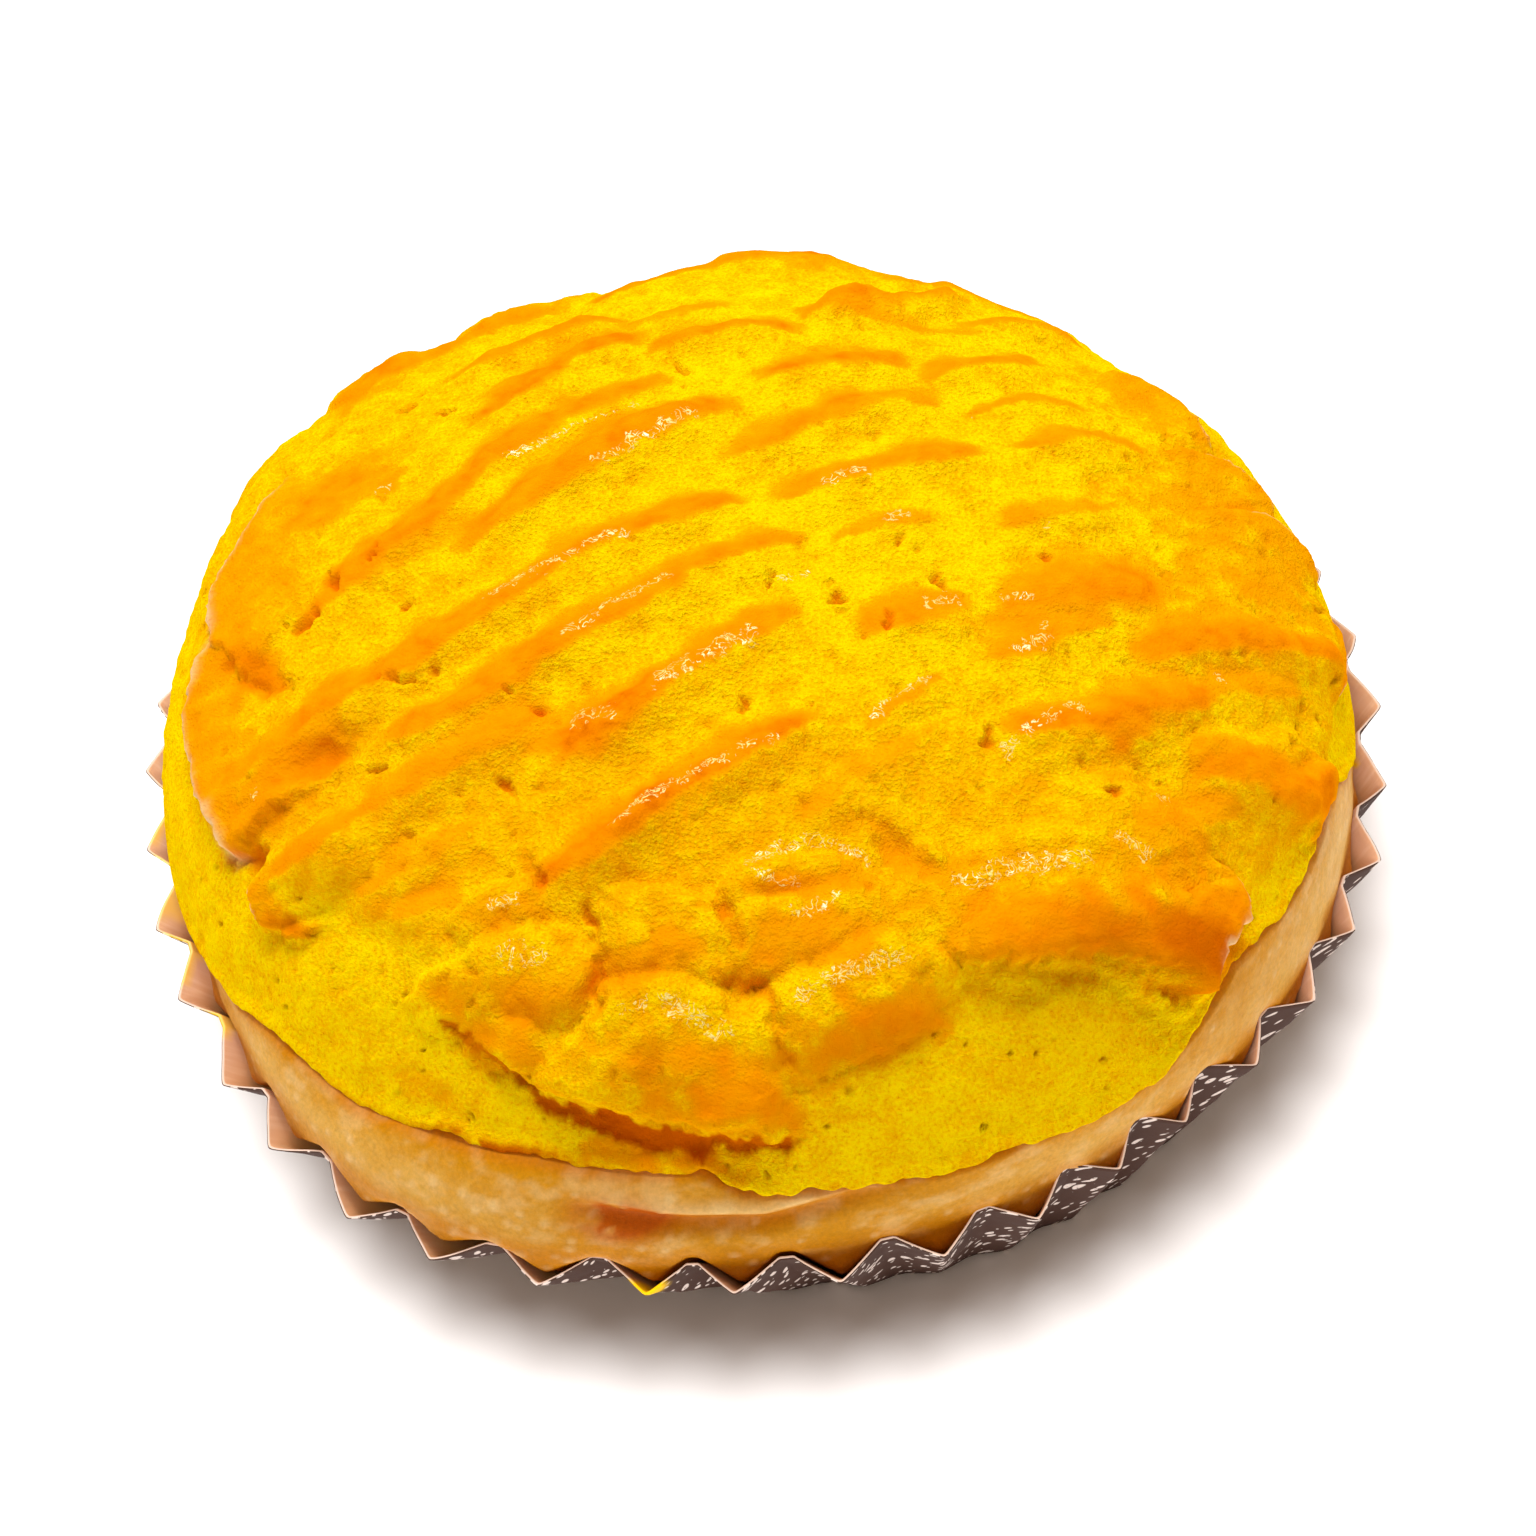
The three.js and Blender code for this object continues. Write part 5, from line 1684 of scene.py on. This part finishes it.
@dataclass(frozen=True)
class BreadBody:
    """The bread, which fills the case up to its folds and bulges a little over the rim.

    Attributes:
        dome: The round form that it shares with the crust.
        crust: The crust on it.
        case: The paper round it.
        finish: What it is made of.
        belly: (bearing, radius of its widest part), in millimetres, as are the next few.
        belly_level: The height of its widest part.
        foot_radius: The radius at which its side leaves the foot.
        press: The share of the pleats' depth that it is pressed into.
        held_levels: Where the paper stops holding it: from, to.
        tuck: How far its side runs on behind the crust's edge.
        beside_crust: How far its side lies inside the crust's edge.
        cap_inset: How far inside the crust's edge its top begins.
        under_crust: How far its top lies below the crust's surface.
        groove: (bearing, level, depth) of the crease along its front.
        blister_cell: How far apart its blisters are.
        spot: Bearing, spread, level and depth of the place that has scorched.
        columns: How many points each ring has.
        foot_rings: How many rings its foot has.
        side_rings: How many rings its side has.
        cap_rings: How many rings its top has, under the crust.
    """

    dome: Dome
    crust: CrustTopping
    case: PaperCase
    finish: MilkBreadSkin
    belly: tuple[Row, ...] = (
        (-180, 48.4), (-165, 48.6), (-155, 48.9), (-150, 49.3), (-143, 50.4), (-135, 51.5),
        (-128, 52.3), (-120, 52.4), (-112, 51.9), (-104, 51), (-95, 50), (-86, 49.5), (-79, 49.3),
        (-70, 49), (-60, 48.8), (-50, 49), (-40, 49.4), (-20, 49.6), (0, 49.4), (30, 48.6),
        (150, 48.4),
    )
    belly_level: float = 20.5
    foot_radius: float = 35.0
    press: float = 0.86
    held_levels: tuple[float, float] = (15.5, 20.4)
    tuck: float = 0.8
    beside_crust: float = 0.5
    cap_inset: float = 2.4
    under_crust: float = 3.4
    groove: tuple[Row, ...] = (
        (-110, 26.0, 0.0), (-105, 25.6, 0.8), (-98, 24.9, 0.9), (-91, 24.8, 0.8), (-84, 26.2, 0.6),
        (-74, 27.4, 0.0),
    )
    blister_cell: float = 1.9
    spot: tuple[float, float, float, float] = (-104.0, 3.4, 25.2, 1.7)
    columns: int = 984
    foot_rings: int = 14
    side_rings: int = 64
    cap_rings: int = 10

    def side(self, angle: Array, level: Array, edge: Array) -> Array:
        """The side's distance from the dome's axis.

        Below, it is a superellipse that the paper holds in; above the rim it is a shoulder
        that runs up to the crust's edge.

        Args:
            angle: The angle of each point, ring by ring.
            level: The height of each point.
            edge: The height at which each column ends.

        Returns:
            The distance of each point.
        """
        (widest,) = by_bearing(angle, self.belly)
        drop = np.clip(self.belly_level - level, 0.0, None) / self.belly_level
        belly = mix(self.foot_radius, widest, np.sqrt(1.0 - np.clip(drop, 0, 1) ** 2.2))
        lip = self.dome.place(angle[0], self.crust.reach_at(angle[0]), -self.beside_crust)
        top = np.hypot(*(lip[:, :2] - np.array(self.dome.centre)).T)
        above = np.clip((level - self.belly_level) / (edge - self.belly_level), 0.0, 1.0)
        tucked = ramp(edge - self.tuck - level, 0.5, -0.5)
        shoulder = mix(top, widest, 1.0 - above**2) - 1.1 * tucked
        fold = self.case.inner_radius(angle, level, False)
        pleat = self.case.inner_radius(angle, level, True)
        paper = mix(fold, pleat, self.press) - 0.03
        free = np.minimum(np.maximum(belly, fold - 0.2), paper)
        held = mix(paper, free, ramp(level, *self.held_levels))
        rim = self.case.rim_level(angle)
        return mix(held, shoulder, ramp(level, rim - 0.8, rim + 2.2))

    def build(self) -> bpy.types.Object:
        """Make the bread and dress it.

        Rings go up its rounded side to just under the crust's edge, and then inwards under
        the crust.
        """
        angle = np.arange(self.columns) / self.columns * 2.0 * math.pi
        reach = self.crust.reach_at(angle)
        edge = self.dome.place(angle, reach, 0.0)[:, 2] + self.tuck
        low = self.case.paper
        foot = np.linspace(0.0, 0.55, self.foot_rings, endpoint=False) ** 1.2
        up = np.concatenate([foot, np.linspace(0.55**1.2, 1.0, self.side_rings)])
        level = low + (edge - low) * up[:, None]
        a = np.tile(angle, (len(up), 1))
        fields = self.skin(a, level, edge - self.tuck - level)
        r = self.side(a, level, edge) + fields.pop("height")
        x, y = self.dome.centre[0] + r * np.cos(a), self.dome.centre[1] + r * np.sin(a)
        side = np.stack([x, y, level], axis=-1).reshape(-1, 3)

        run = (reach - self.cap_inset) * np.linspace(1.0, 0.06, self.cap_rings)[:, None]
        cap_angle = np.tile(angle, (self.cap_rings, 1))
        cap = self.dome.place(cap_angle, run, -self.under_crust).reshape(-1, 3)
        foot_middle = np.array([[*self.dome.centre, low]])
        top_middle = self.dome.place(np.zeros(1), np.zeros(1), -self.under_crust)
        points = np.vstack([side, cap, foot_middle, top_middle])
        rings = len(up) + self.cap_rings
        total = rings * self.columns
        first = np.arange(self.columns)
        caps = [fan(total, first, True), fan(total + 1, total - self.columns + first, False)]
        faces = np.vstack([ring_faces(rings, self.columns), *caps])
        piece = make_piece("milk_bread", points, faces, "bread_body")
        for name, values in fields.items():
            paint(piece, name, np.concatenate([values.ravel(), np.zeros(len(cap) + 2)]))
        piece.data.materials.append(self.finish.material())
        return piece

    def skin(self, angle: Array, level: Array, below: Array) -> dict[str, Array]:
        """The bread's low relief, and what its finish is to show.

        Args:
            angle: Angle round the bun.
            level: Height over the table.
            below: Depth below the crust's edge.

        Returns:
            Arrays named height, warm, pale and burnt.
        """
        at, deep = by_bearing(angle, self.groove)
        groove = deep * bell(level - at, 0.9)
        lip = deep * bell(level - at - 1.7, 0.7)
        unrolled = np.stack([angle * self.dome.radius, level], axis=-1)
        d, own = nearest_speck(unrolled, self.blister_cell, 90)
        size = 0.18 + 0.4 * own
        often = 0.25 + 0.5 * bearing_bell(angle, -116, 22)
        blister = ramp(d, size + 0.25, 0.4 * size) * (own < often) * ramp(below, 0.5, 2.0)
        x, y = np.cos(angle) * self.dome.radius, np.sin(angle) * self.dome.radius
        place = np.stack([x, y, level], axis=-1)
        uneven = 0.22 * grain(place, 9.0, 95) + 0.08 * grain(place, 2.2, 96)
        streak = ramp(layered_grain(place * np.array([1.0, 1.0, 1.8]), 2.2, 97, 3), -0.1, 1.0)
        bearing, spread, height, depth = self.spot
        spot = 1.5 * bearing_bell(angle, bearing, spread) * bell(level - height, depth)
        spot = spot * ramp(layered_grain(place, 1.8, 99, 3), -1.3, 0.1)
        # Low down in the pleats the bread is painted more orange and browner: painted shade.
        low = ramp(level, 23.4, 20.6)
        right_front = bearing_bell(angle, -42, 11)
        # It is painted more orange just under the crust's edge, as painted shade.
        warm = 0.8 * bell(below, 1.8) + 1.1 * bearing_bell(angle, -94, 24) + 0.6 * right_front
        streak = streak * (1.0 - 0.5 * low) * (1.0 - 0.7 * right_front)
        # The crease and the band just under the crust's edge are painted browner as painted shade;
        # the spot is scorched.
        burnt_and_shade = 0.6 * groove + 1.1 * spot + 0.5 * bell(below, 0.5) + 0.32 * low
        return {
            "height": uneven - groove + 0.35 * lip + 0.09 * blister,
            "warm": np.clip(warm + 0.5 * low, 0.0, 1.0),
            "pale": np.clip(0.6 * blister + 0.9 * lip + 0.5 * streak, 0.0, 1.0),
            "burnt_and_shade": np.clip(burnt_and_shade, 0.0, 1.0),
        }


# ---- The studio ----


class LampKind(Enum):
    """The kinds of lamp: a square softbox near the bun, and a distant round one."""

    SOFTBOX = "AREA"
    SUN = "SUN"


@dataclass(frozen=True)
class Lamp:
    """A lamp that looks at the bun.

    Attributes:
        name: Its name.
        bearing: Where it stands round the bun, in degrees, as is the next.
        elevation: How high it stands.
        width: A softbox's side in metres, or the angle in degrees that a sun fills.
        power: Its watts, or a sun's watts for each square metre.
        kind: Which kind it is.
        distance: How far off it stands, in metres.
    """

    name: str
    bearing: float
    elevation: float
    width: float
    power: float
    kind: LampKind = LampKind.SOFTBOX
    distance: float = 1.6

    def build(self, target: Vector) -> bpy.types.Object:
        """Place the lamp and turn it to the target."""
        a, e = math.radians(self.bearing), math.radians(self.elevation)
        away = Vector((math.cos(a) * math.cos(e), math.sin(a) * math.cos(e), math.sin(e)))
        data = bpy.data.lights.new(self.name, self.kind.value)
        data.energy = self.power
        if self.kind is LampKind.SUN:
            data.angle = math.radians(self.width)
        else:
            data.shape = "SQUARE"
            data.size = self.width
        lamp = bpy.data.objects.new(self.name, data)
        lamp.location = target + away * self.distance
        lamp.rotation_mode = "QUATERNION"
        lamp.rotation_quaternion = away.to_track_quat("Z", "Y")
        bpy.context.collection.objects.link(lamp)
        return lamp


@dataclass(frozen=True)
class Studio:
    """A white sweep, soft light from above and behind, and the camera.

    Attributes:
        floor_side: The sweep's side, in metres.
        floor_gap: How far it lies below the case's foot, in millimetres.
        floor_colour: Its colour.
        sky_colour: The colour of the light from all round.
        sky_low: How strong that light is level with the bun.
        sky_high: How strong it is overhead.
        horizon: How much a pale band adds to it on the horizon.
        horizon_height: Where that band ends and where it is full, as the sine of the height.
        bun_lights: The lamps that light the bun.
        case_light: The lamp that lights the case alone.
        floor_light: The lamp that lights the sweep, and so casts the shadow.
        target: What the lamps and the camera look at, in millimetres, as is the next.
        aim: How far right of it and above it the camera really looks.
        camera_elevation: In degrees, as is the roll.
        camera_roll: How far the camera leans.
        camera_distance: How far off it stands, in millimetres, as are the next two.
        lens: Its focal length.
        sensor: The width of its picture.
    """

    floor_side: float = 16.0
    floor_gap: float = 0.05
    floor_colour: int = 0xF2F0F0
    sky_colour: int = 0xFFE4CC
    sky_low: float = 0.15
    sky_high: float = 0.7
    horizon: float = 0.8
    horizon_height: tuple[float, float] = (0.12, 0.01)
    bun_lights: tuple[Lamp, ...] = (
        Lamp("main_softbox", 106.0, 66.0, 1.0, 19.8),
        Lamp("glint_softbox", 90.0, 79.0, 0.26, 6.0),
    )
    case_light: Lamp = Lamp("case_softbox", -104.0, 46.0, 1.0, 24.0)
    floor_light: Lamp = Lamp("floor_sun", -136.0, 80.0, 31.0, 4.9, LampKind.SUN)
    target: tuple[float, float, float] = (-0.1, 0.3, 20.0)
    aim: tuple[float, float] = (0.45, -0.57)
    camera_elevation: float = 50.8
    camera_roll: float = -2.83
    camera_distance: float = 416.0
    lens: float = 116.57
    sensor: float = 36.0

    def build(self, pieces: list[bpy.types.Object]) -> None:
        """Make the floor, the lights, the sky and the camera.

        The bun's lights fall on its pieces only, and the floor has a light of its own.

        Args:
            pieces: The bun's pieces, the case first.
        """
        sheet = self.floor()
        self.sky()
        target = Vector(self.target) * MM
        for name, lamps, lit in (
            ("lit_bun", self.bun_lights, pieces),
            ("lit_case", (self.case_light,), pieces[:1]),
            ("lit_floor", (self.floor_light,), [sheet]),
        ):
            receivers = bpy.data.collections.new(name)
            for thing in lit:
                receivers.objects.link(thing)
            for lamp in lamps:
                lamp.build(target).light_linking.receiver_collection = receivers
        self.camera()
        bpy.context.scene.view_settings.view_transform = "Standard"

    def floor(self) -> bpy.types.Object:
        """A pale matt sheet on the table's level, outside the object."""
        half, low = self.floor_side / 2, -self.floor_gap * MM
        corners = [(-half, -half, low), (half, -half, low), (half, half, low), (-half, half, low)]
        mesh = bpy.data.meshes.new("floor")
        mesh.from_pydata(corners, [], [(0, 1, 2, 3)])
        sheet = bpy.data.objects.new("floor", mesh)
        bpy.context.collection.objects.link(sheet)
        r = Recipe.named("white_paper_sweep")
        matt = {"Roughness": 0.9, "Specular IOR Level": 0.1}
        shader = r.add("BsdfPrincipled", {"Base Color": linear(self.floor_colour), **matt})
        mesh.materials.append(r.finish(shader))
        return sheet

    def sky(self) -> None:
        """Soft warm light from all round: low + (high - low) z, and a pale band on the horizon."""
        world = bpy.data.worlds.new("studio_light")
        world.use_nodes = True
        r = Recipe(world)
        z = r.add("SeparateXYZ", (r.add("TexCoord", out="Generated"),), "Z")
        glow = r.add("MapRange", {"Value": z, "To Min": self.sky_low, "To Max": self.sky_high})
        end, full = self.horizon_height
        band = {"Value": z, "From Min": end, "From Max": full, "To Max": self.horizon}
        strength = r.add("Math", (glow, r.add("MapRange", band)), operation=Sum.PLUS)
        background = world.node_tree.nodes["Background"]
        background.inputs["Color"].default_value = linear(self.sky_colour)
        world.node_tree.links.new(strength, background.inputs["Strength"])
        bpy.context.scene.world = world

    def camera(self) -> None:
        """The camera in front of the bun, looking down at it."""
        e, roll = math.radians(self.camera_elevation), math.radians(self.camera_roll)
        back = Vector((0.0, -math.cos(e), math.sin(e)))
        level, up = Vector((1.0, 0.0, 0.0)), Vector((0.0, math.sin(e), math.cos(e)))
        right = level * math.cos(roll) + up * math.sin(roll)
        above = up * math.cos(roll) - level * math.sin(roll)
        data = bpy.data.cameras.new("camera")
        data.sensor_width = self.sensor
        data.lens = self.lens
        data.clip_start, data.clip_end = 0.01, 20.0
        camera = bpy.data.objects.new("camera", data)
        aimed = Vector(self.target) + right * self.aim[0] + above * self.aim[1]
        camera.location = (aimed + back * self.camera_distance) * MM
        camera.rotation_mode = "QUATERNION"
        camera.rotation_quaternion = Matrix((right, above, back)).transposed().to_quaternion()
        bpy.context.collection.objects.link(camera)
        bpy.context.scene.camera = camera


def main() -> None:
    """Build the bun's pieces in order, then the studio."""
    logging.basicConfig(level=logging.INFO, format="%(name)s: %(message)s")
    dome = Dome()
    crust = CrustTopping(dome, BiscuitCrust())
    case = PaperCase(PrintedBakingPaper())
    bread = BreadBody(dome, crust, case, MilkBreadSkin())
    pieces = [part.build() for part in (case, bread, crust)]
    for piece in pieces:
        log.info("%s: %d faces", piece.name, len(piece.data.polygons))
    Studio().build(pieces)


if __name__ == "__main__":
    main()
